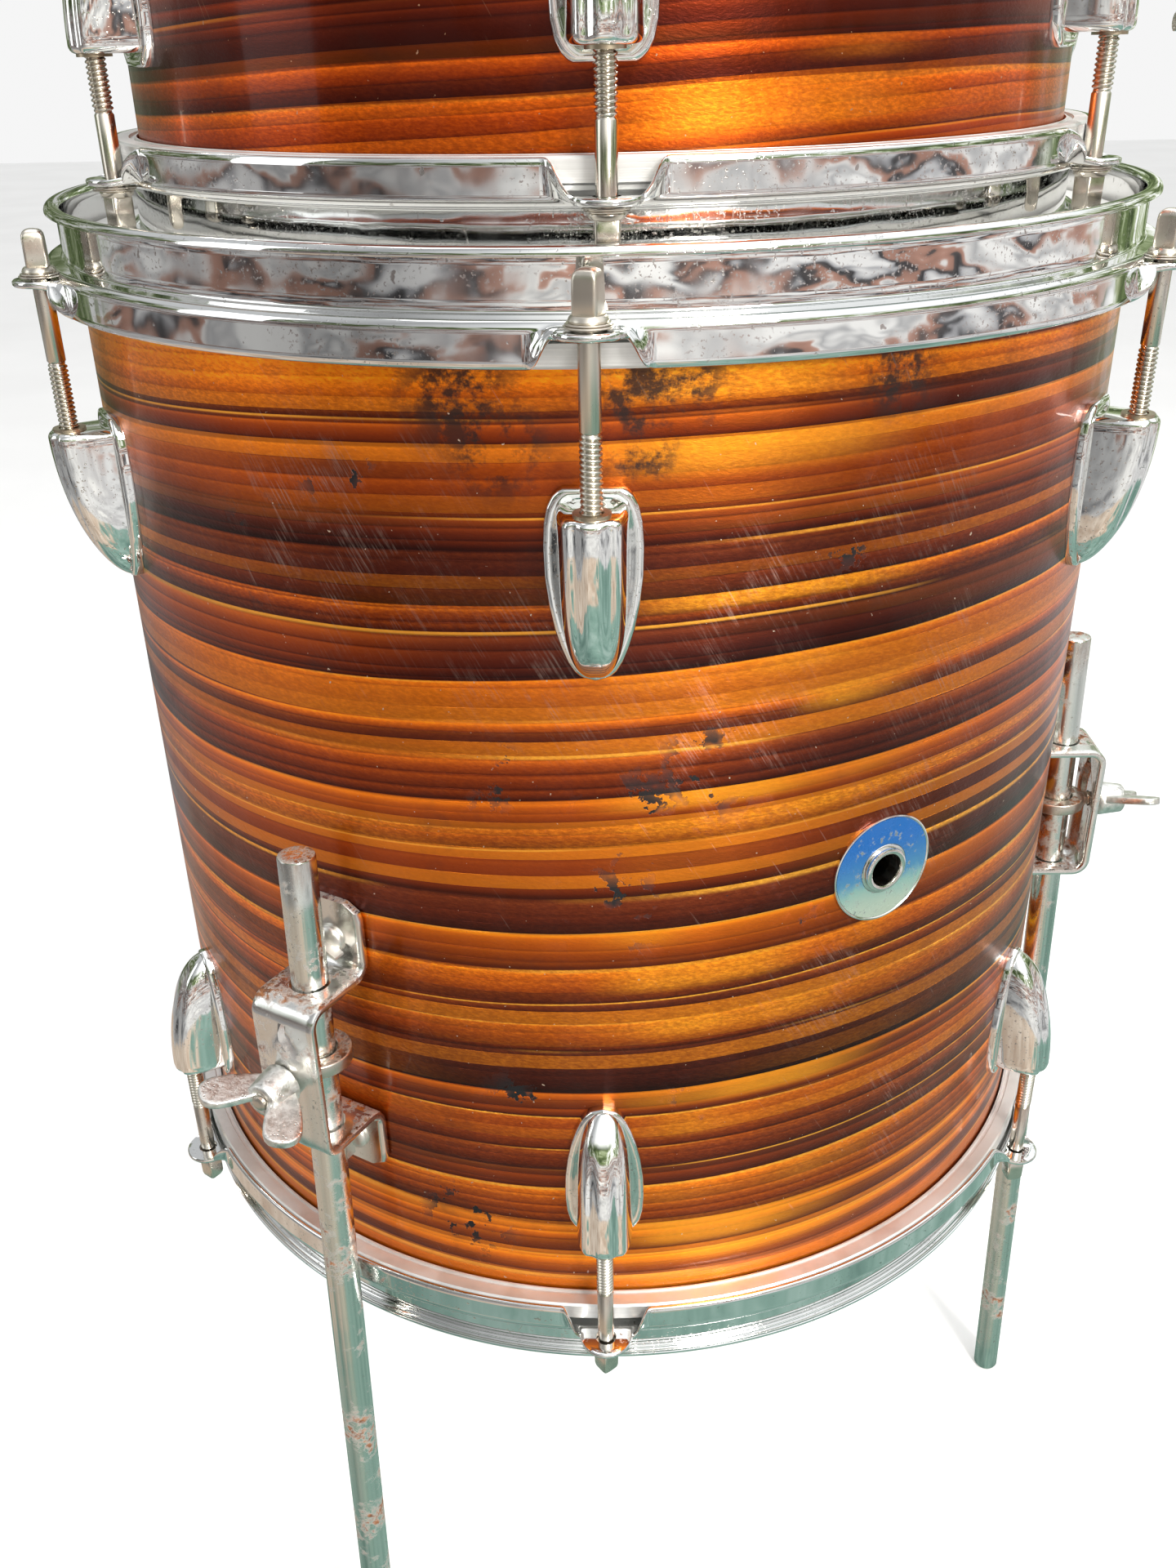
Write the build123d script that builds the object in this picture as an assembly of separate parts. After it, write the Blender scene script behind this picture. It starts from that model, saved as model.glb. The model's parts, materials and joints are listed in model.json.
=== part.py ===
from build123d import *
import math
import os
from dataclasses import dataclass

# A two-drum stack: a 14 x 14 inch floor tom on three rod legs, with a 12 x 8 inch tom stood on its
# head. Millimetres, +Z up. The origin is on the drums' axis at floor level. Angles are measured from
# the front (-Y) towards +X.

# Shells
INCH = 25.4
WALL = 6.4                  # ply wall
WRAP = 0.5                  # plastic covering
EDGE_IN = 2.5               # crest of the bearing edge, inside the wrap's face
EDGE_DROP = 2.5             # height of the bearing edge's outer bevel
RING_WALL = 6.4             # reinforcing ring inside each end of a shell
RING_TALL = 38.0
FLOOR_EDGE_Z = 238.0        # the floor tom's lower bearing edge, above the floor

# Heads: film, and the aluminium flesh hoop that it is bonded into
FILM = 0.4
COLLAR_OUT = 0.3            # gap between the wrap and the film's collar
COLLAR_DROP = 12.0
FLESH_OUT = 7.8             # flesh hoop's outer face, outside the wrap
FLESH_TOP = -8.5
FLESH_BOTTOM = -16.9

# Triple-flanged hoops, as offsets outside the wrap's face and heights beyond the bearing edge
HOOP_PLATE = 1.8
LIP_TOP = 11.2
LIP_OUT = 6.8
WALL_OUT = 3.7
SHOULDER_TOP = -4.4
SKIRT_OUT = 10.3
SKIRT_BOTTOM = -16.7
EAR_TOP = -6.2
EAR_PLATE = 2.0
EAR_WIDE = 18.0
EAR_OUT = 21.9
ARCH_WIDE = 24.0            # opening in the skirt below an ear

# Tension rods, key heads and washers
LUG_COUNT = 6
ROD_OUT = 13.65             # rod circle, outside the wrap's face
ROD_R = 2.8
THREAD_R = 3.1
ROD_HOLE_R = 3.6
ROD_TIP = 7.7               # top of the key head beyond the bearing edge
KEY_SIDE = 6.6
FLANGE_R = 5.0
FLANGE_TALL = 1.6
WASHER_R = 6.2
WASHER_TALL = 1.1
FACE_GAP = 0.3              # gap between a washer and the ear that it turns on
RUN_GAP = 0.05              # running clearance in a thread or a nut
ROD_IN_LUG = 28.0           # a rod's end beyond the rod end of its lug

# Lugs
LUG_DROP = 47.6             # rod end of a floor tom lug, in from the bearing edge
SMALL_LUG_DROP = 36.7
LUG_LONG = 54.0
LUG_FLANGE_WIDE = 27.0
LUG_FLANGE_TALL = 3.2
LUG_BODY_WIDE = 17.7
LUG_BODY_OUT = 20.4
LUG_TIP_OUT = 9.0
INSERT_R = 5.0
INSERT_LONG = 16.0
INSERT_INSET = 3.0
SCREW_R = 2.2
SCREW_HEAD_R = 4.5
SCREW_HEAD_TALL = 2.0
SCREW_SPREAD = 34.0         # between the two screws of a lug

# Legs and their clamps
LEG_R = 6.0
LEG_TOP_Z = 429.5
LEG_ANGLES = {"leg_left": -30.0, "leg_right": 90.0, "leg_rear": 210.0}
LEG_SPLAY = 1.72            # degrees
LEG_CIRCLE = 192.65         # leg axis at the upper strap
LEG_HOLE_R = 6.35
STRAP = 2.8
STRAP_WIDE = 25.0
STRAP_FACE_R = 208.0        # outer face of the front plate
UPPER_STRAP_Z = 381.0
LOWER_STRAP_Z = 324.0
STRAP_FLANGE = 26.0
STRAP_BEND = 4.0            # radius of the bends, at the middle of the strap
BRACKET_SCREW_R = 2.4
BRACKET_HEAD_R = 5.2
EYE_Z = 354.0
EYE_RING_R = 11.6
EYE_RING_TALL = 5.0
EYE_BOLT_R = 3.0
EYE_BOLT_END = 223.0
NUT_HUB_R = 7.2
NUT_HUB_END_R = 5.6
NUT_HUB_LONG = 11.0
WING_SPAN = 17.0
WING_FLARE = 20.5
WING_THICK = 3.2
WING_TURN = 10.0            # degrees from level, left wing up

# Vent and badge on the floor tom, vent on the small tom
VENT_ANGLE = 29.0
VENT_Z = FLOOR_EDGE_Z + 7 * INCH
VENT_HOLE_R = 5.6
VENT_TUBE_R = 6.5
GROMMET_R = 7.5
BADGE_R = 18.5
BADGE_THICK = 0.8

# Tom holder bracket on the small tom
HOLDER_ANGLE = 90.0
HOLDER_BORE_R = 5.25
HOLDER_CIRCLE = 186.0
HOLDER_Z = 643.0            # underside of the arm's outer end
HOLDER_ARM_TALL = 10.0
HOLDER_BASE_WIDE = 38.0
HOLDER_BASE_TALL = 68.0
HOLDER_BASE_THICK = 4.0
HOLDER_BOSS_R = 10.5
HOLDER_NECK_R = 4.8         # threaded neck that the wing bolt screws into
HOLDER_NECK_END = 201.0
HOLDER_SCREW_R = 3.0


@dataclass
class Drum:
    """One drum: its name, radius over the wrap, depth and lower bearing edge."""

    name: str
    radius: float
    depth: float
    edge_z: float
    lug_drop: float
    rod_angle: float


FLOOR_TOM = Drum("floor_tom", 7 * INCH, 14 * INCH, FLOOR_EDGE_Z, LUG_DROP, -0.9)
SMALL_EDGE_Z = FLOOR_EDGE_Z + 14 * INCH + FILM + FACE_GAP + LIP_TOP
SMALL_TOM = Drum("small_tom", 6 * INCH, 8 * INCH, SMALL_EDGE_Z, SMALL_LUG_DROP, 0.6)


def save(shape, name):
    """Write one node's solids."""
    node = Compound(children=list(shape)) if isinstance(shape, (list, tuple)) else shape
    export_step(node, f"parts/{name}.step")


def turned(profile):
    """Revolve an (r, z) outline, given as points, about the drum's axis."""
    face = make_face(Plane.XZ * Polyline(*profile, close=True))
    return revolve(face, Axis.Z)


def at_angle(shape, degrees):
    """Turn a shape made at the front round the axis to an angle."""
    return Rot(0, 0, degrees) * shape


def outward(radius, z):
    """A plane at the front whose normal points outward from the axis."""
    return Plane(origin=(0, -radius, z), x_dir=(1, 0, 0), z_dir=(0, -1, 0))


def radial_rod(r_in, r_out, z, radius):
    """A cylinder along the outward direction at the front."""
    long = r_out - r_in
    return outward(r_in, z) * Cylinder(radius, long, align=(Align.CENTER, Align.CENTER, Align.MIN))


def upright(x, y, z, radius, tall):
    """A cylinder standing on height z."""
    return Pos(x, y, z) * Cylinder(radius, tall, align=(Align.CENTER, Align.CENTER, Align.MIN))


def slab(x, y, z, wide, deep, tall):
    """A box centred on x and y, standing on height z."""
    return Pos(x, y, z) * Box(wide, deep, tall, align=(Align.CENTER, Align.CENTER, Align.MIN))


def at_top(drum, shape):
    """Place a shape made above z = 0 on the drum's upper bearing edge."""
    return Pos(0, 0, drum.edge_z + drum.depth) * shape


def at_bottom(drum, shape):
    """Place the same shape on the drum's lower bearing edge, upside down."""
    flipped = mirror(shape, about=Plane.XY)
    return Pos(0, 0, drum.edge_z) * flipped


def shell(drum):
    """The ply shell, with a bevelled bearing edge at both ends."""
    r_out = drum.radius - WRAP
    crest = drum.radius - EDGE_IN
    r_in = r_out - WALL
    inner_drop = crest - r_in
    low = drum.edge_z
    high = low + drum.depth
    return turned([
        (r_out, low + EDGE_DROP), (r_out, high - EDGE_DROP), (crest, high), (r_in, high - inner_drop),
        (r_in, low + inner_drop), (crest, low),
    ])


def reinforcing_rings(drum):
    """The glued rings inside both ends, whose faces carry on the 45 degree bearing edge."""
    r_out = drum.radius - WRAP - WALL
    r_in = r_out - RING_WALL
    drop = drum.radius - EDGE_IN - r_out
    foot = -drop - RING_TALL
    ring = turned([(r_out, -drop), (r_out, foot), (r_in, foot), (r_in, -drop - RING_WALL)])
    return [at_top(drum, ring), at_bottom(drum, ring)]


def wrap(drum):
    """The plastic covering, from bevel to bevel."""
    r_in = drum.radius - WRAP
    low = drum.edge_z + EDGE_DROP + 0.5
    high = drum.edge_z + drum.depth - EDGE_DROP - 0.5
    return turned([(r_in, low), (drum.radius, low), (drum.radius, high), (r_in, high)])


def head_film(drum):
    """A flat film with a collar that turns down outside the bearing edge."""
    crest = drum.radius - EDGE_IN
    collar = drum.radius + COLLAR_OUT
    return turned([
        (0, 0), (crest, 0), (collar, -EDGE_DROP - 0.7), (collar, -COLLAR_DROP), (collar + FILM, -COLLAR_DROP),
        (collar + FILM, -EDGE_DROP - 0.5), (crest + 0.2, FILM), (0, FILM),
    ])


def flesh_hoop(drum):
    """The aluminium ring at the foot of the film's collar, with a stepped outer face."""
    r_in = drum.radius + COLLAR_OUT + FILM
    r_out = drum.radius + FLESH_OUT
    step = 1.6
    return turned([
        (r_in, FLESH_TOP), (r_out - step, FLESH_TOP), (r_out - step, FLESH_TOP - step),
        (r_out, FLESH_TOP - step), (r_out, FLESH_BOTTOM), (r_in, FLESH_BOTTOM),
    ])


def hoop(drum):
    """A pressed hoop: a lip that turns out, a wall, a shoulder, and a skirt with six ears."""
    lip = drum.radius + LIP_OUT
    wall = drum.radius + WALL_OUT
    skirt = drum.radius + SKIRT_OUT
    plate = HOOP_PLATE
    ring = turned([
        (wall - plate, LIP_TOP - 2.2), (wall - plate + 0.8, LIP_TOP - 0.6), (wall + 0.4, LIP_TOP),
        (lip - 1.2, LIP_TOP - 0.3), (lip, LIP_TOP - 1.6), (lip - 0.4, LIP_TOP - 2.8),
        (wall + 0.6, LIP_TOP - 2.6), (wall, LIP_TOP - 3.6),
        (wall, SHOULDER_TOP + 0.8), (wall + 0.8, SHOULDER_TOP),
        (skirt - 2.6, SHOULDER_TOP - 0.4), (skirt - 0.6, SHOULDER_TOP - 1.4), (skirt, SHOULDER_TOP - 3.4),
        (skirt, SKIRT_BOTTOM), (skirt - plate, SKIRT_BOTTOM), (skirt - plate, SHOULDER_TOP - 2.9),
        (skirt - 3.0, SHOULDER_TOP - 2.2), (wall - plate, SHOULDER_TOP - plate),
    ])
    for angle in rod_angles(drum):
        ring += at_angle(ear(drum), angle)
        ring -= at_angle(ear_cuts(drum), angle)
    return ring


def ear(drum):
    """A level tab with a round end, folded out of the skirt."""
    r_in = drum.radius + SKIRT_OUT - 1.0
    r_tab = drum.radius + EAR_OUT - EAR_WIDE / 2
    bottom = EAR_TOP - EAR_PLATE
    tab = slab(0, -(r_in + r_tab) / 2, bottom, EAR_WIDE, r_tab - r_in, EAR_PLATE)
    return tab + upright(0, -r_tab, bottom, EAR_WIDE / 2, EAR_PLATE)


def ear_cuts(drum):
    """The arch in the skirt below an ear, the flat that the washer sits on, and the rod's hole."""
    bottom = EAR_TOP - EAR_PLATE
    arch_tall = bottom - SKIRT_BOTTOM
    r_arch = drum.radius + SKIRT_OUT
    arch = slab(0, -r_arch, SKIRT_BOTTOM - 1, ARCH_WIDE, 2 * HOOP_PLATE + 1, arch_tall + 1)
    circle = -(drum.radius + ROD_OUT)
    hole = upright(0, circle, bottom - 1, ROD_HOLE_R, EAR_PLATE + 2)
    seat = upright(0, circle, EAR_TOP, WASHER_R + 0.5, 3)
    return arch + hole + seat


def rod_angles(drum):
    return [drum.rod_angle + 60.0 * i for i in range(LUG_COUNT)]


def tension_rod(drum):
    """A rod hung from the top of an ear: square key head, flange, washer, shank and thread."""
    circle = -(drum.radius + ROD_OUT)
    seat = EAR_TOP + FACE_GAP
    flange_z = seat + WASHER_TALL + 0.1
    thread_top = -0.5 * (drum.lug_drop - EAR_TOP) - 4
    end = -drum.lug_drop - ROD_IN_LUG
    key = slab(0, circle, flange_z + FLANGE_TALL, KEY_SIDE, KEY_SIDE, ROD_TIP - flange_z - FLANGE_TALL)
    dome = Pos(0, circle, ROD_TIP - KEY_SIDE) * Sphere(KEY_SIDE * 0.98)
    rod = (key & dome) + upright(0, circle, flange_z, FLANGE_R, FLANGE_TALL)
    rod += upright(0, circle, thread_top, ROD_R, flange_z - thread_top)
    rod += upright(0, circle, end, THREAD_R, thread_top - end)
    washer = upright(0, circle, seat, WASHER_R, WASHER_TALL) - upright(0, circle, seat - 1, ROD_R + 0.1, 4)
    return [rod, washer]


def lug_outline(wide, long, tip_wide):
    """A tulip outline: square-shouldered at the rod end and round at the tip."""
    half = wide / 2
    tip = tip_wide / 2
    outline = Line((-half + 3, 0), (half - 3, 0))
    outline += Spline((half - 3, 0), (half, -0.22 * long), (half - 1.5, -0.6 * long), (tip, -long + tip),
                      tangents=[(1, 0), (-0.35, -1)])
    outline += ThreePointArc((tip, -long + tip), (0, -long), (-tip, -long + tip))
    outline += Spline((-tip, -long + tip), (-half + 1.5, -0.6 * long), (-half, -0.22 * long), (-half + 3, 0),
                      tangents=[(-0.35, 1), (1, 0)])
    return make_face(outline)


def lug(drum):
    """One lug below the upper bearing edge, rod end up, hollow round its swivel insert."""
    top = -drum.lug_drop
    r_out = drum.radius + LUG_BODY_OUT
    flange = extrude(outward(drum.radius - 3, top) * lug_outline(LUG_FLANGE_WIDE, LUG_LONG, 9.0),
                     LUG_FLANGE_TALL + 3)
    body = extrude(outward(drum.radius - 3, top) * lug_outline(LUG_BODY_WIDE, LUG_LONG - 3, 6.0),
                   LUG_BODY_OUT + 4)
    back = -drum.radius + 4
    side = Polyline((back, top - LUG_LONG), (back, top), (-r_out + 1.5, top), (-r_out, top - 1.5))
    side += Spline((-r_out, top - 1.5), (-r_out + 0.8, top - 0.42 * LUG_LONG),
                   (-drum.radius - LUG_TIP_OUT, top - 0.86 * LUG_LONG), (back, top - LUG_LONG),
                   tangents=[(0, -1), (1, -0.8)])
    body &= extrude(make_face(Plane.YZ * side), LUG_FLANGE_WIDE / 2, both=True)
    casting = flange + body
    casting -= upright(0, 0, top - LUG_LONG - 1, drum.radius, LUG_LONG + 2)
    circle = -(drum.radius + ROD_OUT)
    casting -= upright(0, circle, top - INSERT_INSET - INSERT_LONG, INSERT_R, INSERT_LONG)
    casting -= upright(0, circle, top - INSERT_LONG * 2.2, ROD_HOLE_R, INSERT_LONG * 2.2 + 1)
    for z in lug_screw_heights(drum):
        casting -= radial_rod(drum.radius - 1, drum.radius + 6, z, SCREW_R)
    return casting


def lug_screw_heights(drum):
    middle = -drum.lug_drop - LUG_LONG / 2 - 1
    return [middle - SCREW_SPREAD / 2, middle + SCREW_SPREAD / 2]


def lug_insert(drum):
    """The swivel nut inside a lug, bored for the rod's thread."""
    circle = -(drum.radius + ROD_OUT)
    low = -drum.lug_drop - INSERT_INSET - INSERT_LONG
    insert = upright(0, circle, low, INSERT_R, INSERT_LONG)
    return insert - upright(0, circle, low - 1, THREAD_R + RUN_GAP, INSERT_LONG + 2)


def screw_from_inside(drum, z):
    """A pan head screw through the shell's wall from inside."""
    return pan_screw(drum, z, 5.5)


def pan_screw(drum, z, reach):
    """A pan head screw whose head sits just clear of the curved wall."""
    seat = drum.radius - WRAP - WALL - 0.1
    head = radial_rod(seat - SCREW_HEAD_TALL, seat, z, SCREW_HEAD_R)
    return head + radial_rod(seat - 1, drum.radius + reach, z, SCREW_R)


def round_the_drum(drum, shape):
    """Six copies at each end."""
    copies = []
    for angle in rod_angles(drum):
        copies.append(at_top(drum, at_angle(shape, angle)))
        copies.append(at_bottom(drum, at_angle(shape, angle)))
    return copies


def leg_axis(degrees):
    """A leg's axis: its foot on the floor, and its unit direction upward."""
    lean = math.radians(LEG_SPLAY)
    turn = math.radians(degrees)
    foot_r = LEG_CIRCLE + UPPER_STRAP_Z * math.tan(lean)
    foot = Vector(foot_r * math.sin(turn), -foot_r * math.cos(turn), 0)
    up = Vector(-math.sin(lean) * math.sin(turn), math.sin(lean) * math.cos(turn), math.cos(lean))
    return foot, up


def leg_rod(radius, z_low, z_high):
    """A rod along the front leg's axis, between two heights."""
    foot, up = leg_axis(0)
    start = foot + up * (z_low / up.Z)
    rod = Plane(origin=start, x_dir=(1, 0, 0), z_dir=up)
    return rod * Cylinder(radius, (z_high - z_low) / up.Z, align=(Align.CENTER, Align.CENTER, Align.MIN))


def leg():
    """A plain steel rod with a chamfered top, and a foot cut level with the floor."""
    rod = leg_rod(LEG_R, -5, LEG_TOP_Z) - slab(0, -LEG_CIRCLE, -30, 60, 60, 30)
    rod = chamfer(rod.edges().sort_by(Axis.Z)[-1], 0.8)
    return fillet(rod.edges().sort_by(Axis.Z)[0], 1.2)


def leg_bracket():
    """A strap bent out round the leg, with a flange on the shell at each end."""
    shell_r = FLOOR_TOM.radius + STRAP / 2
    face_r = STRAP_FACE_R - STRAP / 2
    path = FilletPolyline(
        (-shell_r, UPPER_STRAP_Z + STRAP_FLANGE), (-shell_r, UPPER_STRAP_Z),
        (-face_r, UPPER_STRAP_Z), (-face_r, LOWER_STRAP_Z),
        (-shell_r, LOWER_STRAP_Z), (-shell_r, LOWER_STRAP_Z - STRAP_FLANGE), radius=STRAP_BEND)
    strap = extrude(Plane.YZ * trace(path, STRAP), STRAP_WIDE / 2, both=True)
    strap -= leg_rod(LEG_HOLE_R, LOWER_STRAP_Z - 20, UPPER_STRAP_Z + 20)
    strap -= radial_rod(LEG_CIRCLE + 8, STRAP_FACE_R + 5, EYE_Z, EYE_BOLT_R + 0.2)
    for z in bracket_screw_heights():
        strap -= radial_rod(FLOOR_TOM.radius - 1, FLOOR_TOM.radius + 9, z, BRACKET_SCREW_R)
    strap -= upright(0, 0, LOWER_STRAP_Z - 60, FLOOR_TOM.radius, 200)
    return strap


def bracket_screw_heights():
    return [UPPER_STRAP_Z + 0.42 * STRAP_FLANGE, LOWER_STRAP_Z - 0.58 * STRAP_FLANGE]


def bracket_screw(z):
    """A round head slotted screw through a bracket's flange into the shell."""
    seat = FLOOR_TOM.radius + STRAP
    dome_r = 7.0
    head = outward(seat + 3.0 - dome_r, z) * Sphere(dome_r)
    head &= radial_rod(seat, seat + 5, z, BRACKET_HEAD_R)
    screw = head + radial_rod(FLOOR_TOM.radius - WRAP - WALL - 4, seat + 0.5, z, BRACKET_SCREW_R)
    slot = outward(seat + 3.4, z) * Box(2 * BRACKET_HEAD_R, 1.2, 3.0)
    return screw - slot


def eye_bolt():
    """A ring round the leg, whose shank passes out through the front plate."""
    foot, up = leg_axis(0)
    middle = foot + up * (EYE_Z / up.Z)
    ring = Plane(origin=middle, x_dir=(1, 0, 0), z_dir=up) * Cylinder(EYE_RING_R, EYE_RING_TALL)
    ring += radial_rod(-middle.Y + LEG_R + 2, EYE_BOLT_END, EYE_Z, EYE_BOLT_R)
    return ring - leg_rod(LEG_HOLE_R, EYE_Z - 20, EYE_Z + 20)


def wing_nut(r_seat, z):
    """A tapered hub with two flat wings that flare outward, bored to run on its bolt."""
    hub = outward(r_seat, z) * Cone(NUT_HUB_R, NUT_HUB_END_R, NUT_HUB_LONG,
                                    align=(Align.CENTER, Align.CENTER, Align.MIN))
    reach = [(3.6, 1.5), (7.5, 3.5), (WING_SPAN - 1.5, WING_FLARE - 7.5), (WING_SPAN, WING_FLARE - 4.5),
             (WING_SPAN - 1.5, WING_FLARE - 1), (WING_SPAN - 5, WING_FLARE), (8.0, WING_FLARE - 5),
             (3.6, NUT_HUB_LONG - 0.5)]
    wing = make_face(Plane.XY * Polyline([(t, -r_seat - out) for t, out in reach], close=True))
    wing = Pos(0, 0, z) * extrude(wing, WING_THICK / 2, both=True)
    nut = hub + wing + mirror(wing, about=Plane.YZ)
    return nut - radial_rod(r_seat - 1, r_seat + 40, z, EYE_BOLT_R + RUN_GAP)


def turned_about_bolt(shape, z, degrees):
    return Pos(0, 0, z) * Rot(0, degrees, 0) * Pos(0, 0, -z) * shape


def vent_tube(drum, z, flange_r):
    """A grommet: a tube through the shell with a rolled flange outside."""
    tube = radial_rod(drum.radius - WRAP - WALL - 1, drum.radius + 2.2, z, VENT_TUBE_R)
    tube += radial_rod(drum.radius + BADGE_THICK, drum.radius + 2.4, z, flange_r)
    return tube - radial_rod(drum.radius - 20, drum.radius + 5, z, VENT_HOLE_R)


def badge():
    """A thin round badge, curved to the shell, under the vent's grommet."""
    r = FLOOR_TOM.radius
    face = r + BADGE_THICK
    disc = radial_rod(r - 4, r + 4, VENT_Z, BADGE_R) - radial_rod(r - 5, r + 5, VENT_Z, VENT_TUBE_R)
    low = VENT_Z - BADGE_R - 1
    high = VENT_Z + BADGE_R + 1
    return disc & turned([(r, low), (face, low), (face, high), (r, high)])


def holder_bracket():
    """The cast bracket for a tom holder: a base on the shell and an arm with an upright bore."""
    r = SMALL_TOM.radius
    middle_z = HOLDER_Z + HOLDER_ARM_TALL / 2
    face = r + HOLDER_BASE_THICK
    base = slab(0, -(r - 3 + face) / 2, HOLDER_Z - 6, HOLDER_BASE_WIDE, face - r + 3, HOLDER_BASE_TALL)
    base = fillet(base.edges().filter_by(Axis.Y), 8)
    top = HOLDER_Z + HOLDER_ARM_TALL
    level_from = HOLDER_CIRCLE - HOLDER_BOSS_R - 1
    arm = make_face(Plane.YZ * Polyline(
        (-r + 2, HOLDER_Z - 5), (-r - 14, HOLDER_Z - 3), (-level_from, HOLDER_Z), (-HOLDER_CIRCLE, HOLDER_Z),
        (-HOLDER_CIRCLE, top), (-level_from, top), (-r - 14, top + 4), (-r - 6, top + 16), (-r + 2, top + 24),
        close=True))
    casting = base + extrude(arm, HOLDER_BOSS_R - 1, both=True)
    casting += upright(0, -HOLDER_CIRCLE, HOLDER_Z, HOLDER_BOSS_R, HOLDER_ARM_TALL)
    casting += radial_rod(HOLDER_CIRCLE, HOLDER_NECK_END, middle_z, HOLDER_NECK_R)
    casting -= upright(0, 0, HOLDER_Z - 30, r, 120)
    casting -= upright(0, -HOLDER_CIRCLE, HOLDER_Z - 20, HOLDER_BORE_R, 60)
    casting -= radial_rod(HOLDER_CIRCLE, HOLDER_NECK_END + 5, middle_z, HOLDER_SCREW_R + RUN_GAP)
    for z in holder_screw_heights():
        casting -= radial_rod(r - 1, r + 3.5, z, SCREW_R)
    return casting


def holder_screw_heights():
    return [HOLDER_Z + 17, HOLDER_Z + HOLDER_BASE_TALL - 16]


def holder_wing_bolt():
    """The wing bolt that clamps the holder's rod, screwed in from the arm's end."""
    z = HOLDER_Z + HOLDER_ARM_TALL / 2
    seat = HOLDER_NECK_END + 3.0
    bolt = radial_rod(HOLDER_CIRCLE + HOLDER_BORE_R + 0.4, seat + 2, z, HOLDER_SCREW_R)
    nut = wing_nut(seat, z) + radial_rod(seat, seat + NUT_HUB_LONG, z, EYE_BOLT_R + 0.5)
    return bolt + nut


def without_screws(wall, drum, holes):
    """Drill a wall for the screws and vents that pass through it."""
    for angle, z, radius in holes:
        wall -= at_angle(radial_rod(drum.radius - 20, drum.radius + 5, z, radius), angle)
    return wall


def wall_holes(drum):
    """Every hole through a drum's wall, as angle, height and radius."""
    holes = []
    for angle in rod_angles(drum):
        for z in lug_screw_heights(drum):
            holes.append((angle, drum.edge_z + drum.depth + z, SCREW_R))
            holes.append((angle, drum.edge_z - z, SCREW_R))
    if drum is FLOOR_TOM:
        for angle in LEG_ANGLES.values():
            holes += [(angle, z, BRACKET_SCREW_R) for z in bracket_screw_heights()]
        holes.append((VENT_ANGLE, VENT_Z, VENT_TUBE_R))
    else:
        holes += [(HOLDER_ANGLE, z, SCREW_R) for z in holder_screw_heights()]
        holes.append((VENT_ANGLE, small_vent_z(), VENT_TUBE_R))
    return holes


def small_vent_z():
    return SMALL_TOM.edge_z + SMALL_TOM.depth / 2


def build_drum(drum):
    """Write the nodes that both drums have."""
    name = drum.name
    holes = wall_holes(drum)
    save(without_screws(shell(drum), drum, holes), f"{name}_shell")
    save(without_screws(wrap(drum), drum, holes), f"{name}_wrap")
    save(reinforcing_rings(drum), f"{name}_reinforcing_rings")
    for side, place in (("batter", at_top), ("resonant", at_bottom)):
        save(place(drum, head_film(drum)), f"{name}_{side}_head")
        save(place(drum, flesh_hoop(drum)), f"{name}_{side}_flesh_hoop")
        save(place(drum, hoop(drum)), f"{name}_{side}_hoop")
        for i, angle in enumerate(rod_angles(drum)):
            rod = [place(drum, at_angle(piece, angle)) for piece in tension_rod(drum)]
            save(rod, f"{name}_{side}_rod_{i + 1}")
    save(round_the_drum(drum, lug(drum)), f"{name}_lugs")
    save(round_the_drum(drum, lug_insert(drum)), f"{name}_lug_inserts")


def lug_screws(drum):
    return [s for z in lug_screw_heights(drum) for s in round_the_drum(drum, screw_from_inside(drum, z))]


def build_floor_tom_hardware():
    """Write the floor tom's vent, badge, brackets, legs, eye bolts, wing nuts and screws."""
    vent = at_angle(vent_tube(FLOOR_TOM, VENT_Z, GROMMET_R), VENT_ANGLE)
    save([at_angle(badge(), VENT_ANGLE), vent], "floor_tom_badge_and_vent")
    angles = LEG_ANGLES.values()
    save([at_angle(leg_bracket(), a) for a in angles], "leg_brackets")
    save([at_angle(eye_bolt(), a) for a in angles], "eye_bolts")
    bracket_screws = [at_angle(bracket_screw(z), a) for a in angles for z in bracket_screw_heights()]
    save(lug_screws(FLOOR_TOM) + bracket_screws, "floor_tom_screws")
    nut = turned_about_bolt(wing_nut(STRAP_FACE_R + FACE_GAP, EYE_Z), EYE_Z, WING_TURN)
    for name, angle in LEG_ANGLES.items():
        save(at_angle(leg(), angle), name)
        save(at_angle(nut, angle), name.replace("leg", "wing_nut"))


def build_small_tom_hardware():
    """Write the small tom's vent, holder bracket, wing bolt and screws."""
    save(at_angle(vent_tube(SMALL_TOM, small_vent_z(), GROMMET_R), VENT_ANGLE), "small_tom_vent_grommet")
    save(at_angle(holder_bracket(), HOLDER_ANGLE), "tom_holder_bracket")
    save(at_angle(holder_wing_bolt(), HOLDER_ANGLE), "tom_holder_wing_bolt")
    holder_screws = [at_angle(pan_screw(SMALL_TOM, z, 3.0), HOLDER_ANGLE) for z in holder_screw_heights()]
    save(lug_screws(SMALL_TOM) + holder_screws, "small_tom_screws")


os.makedirs("parts", exist_ok=True)
build_drum(FLOOR_TOM)
build_drum(SMALL_TOM)
build_floor_tom_hardware()
build_small_tom_hardware()
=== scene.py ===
"""Looks for a floor tom on three rod legs with a smaller tom stood on its head.

Everything is in metres, in the CAD model's frame: +Z up, the origin on the drums' axis at floor level,
-Y the front. Most hardware is shaped in a local frame (t, o, h): t along the shell's tangent, o outward
from the covering's face, and h beyond the bearing edge.
"""
import bmesh
import bpy
import json
import math
import random
from mathutils import Matrix, Vector


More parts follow.
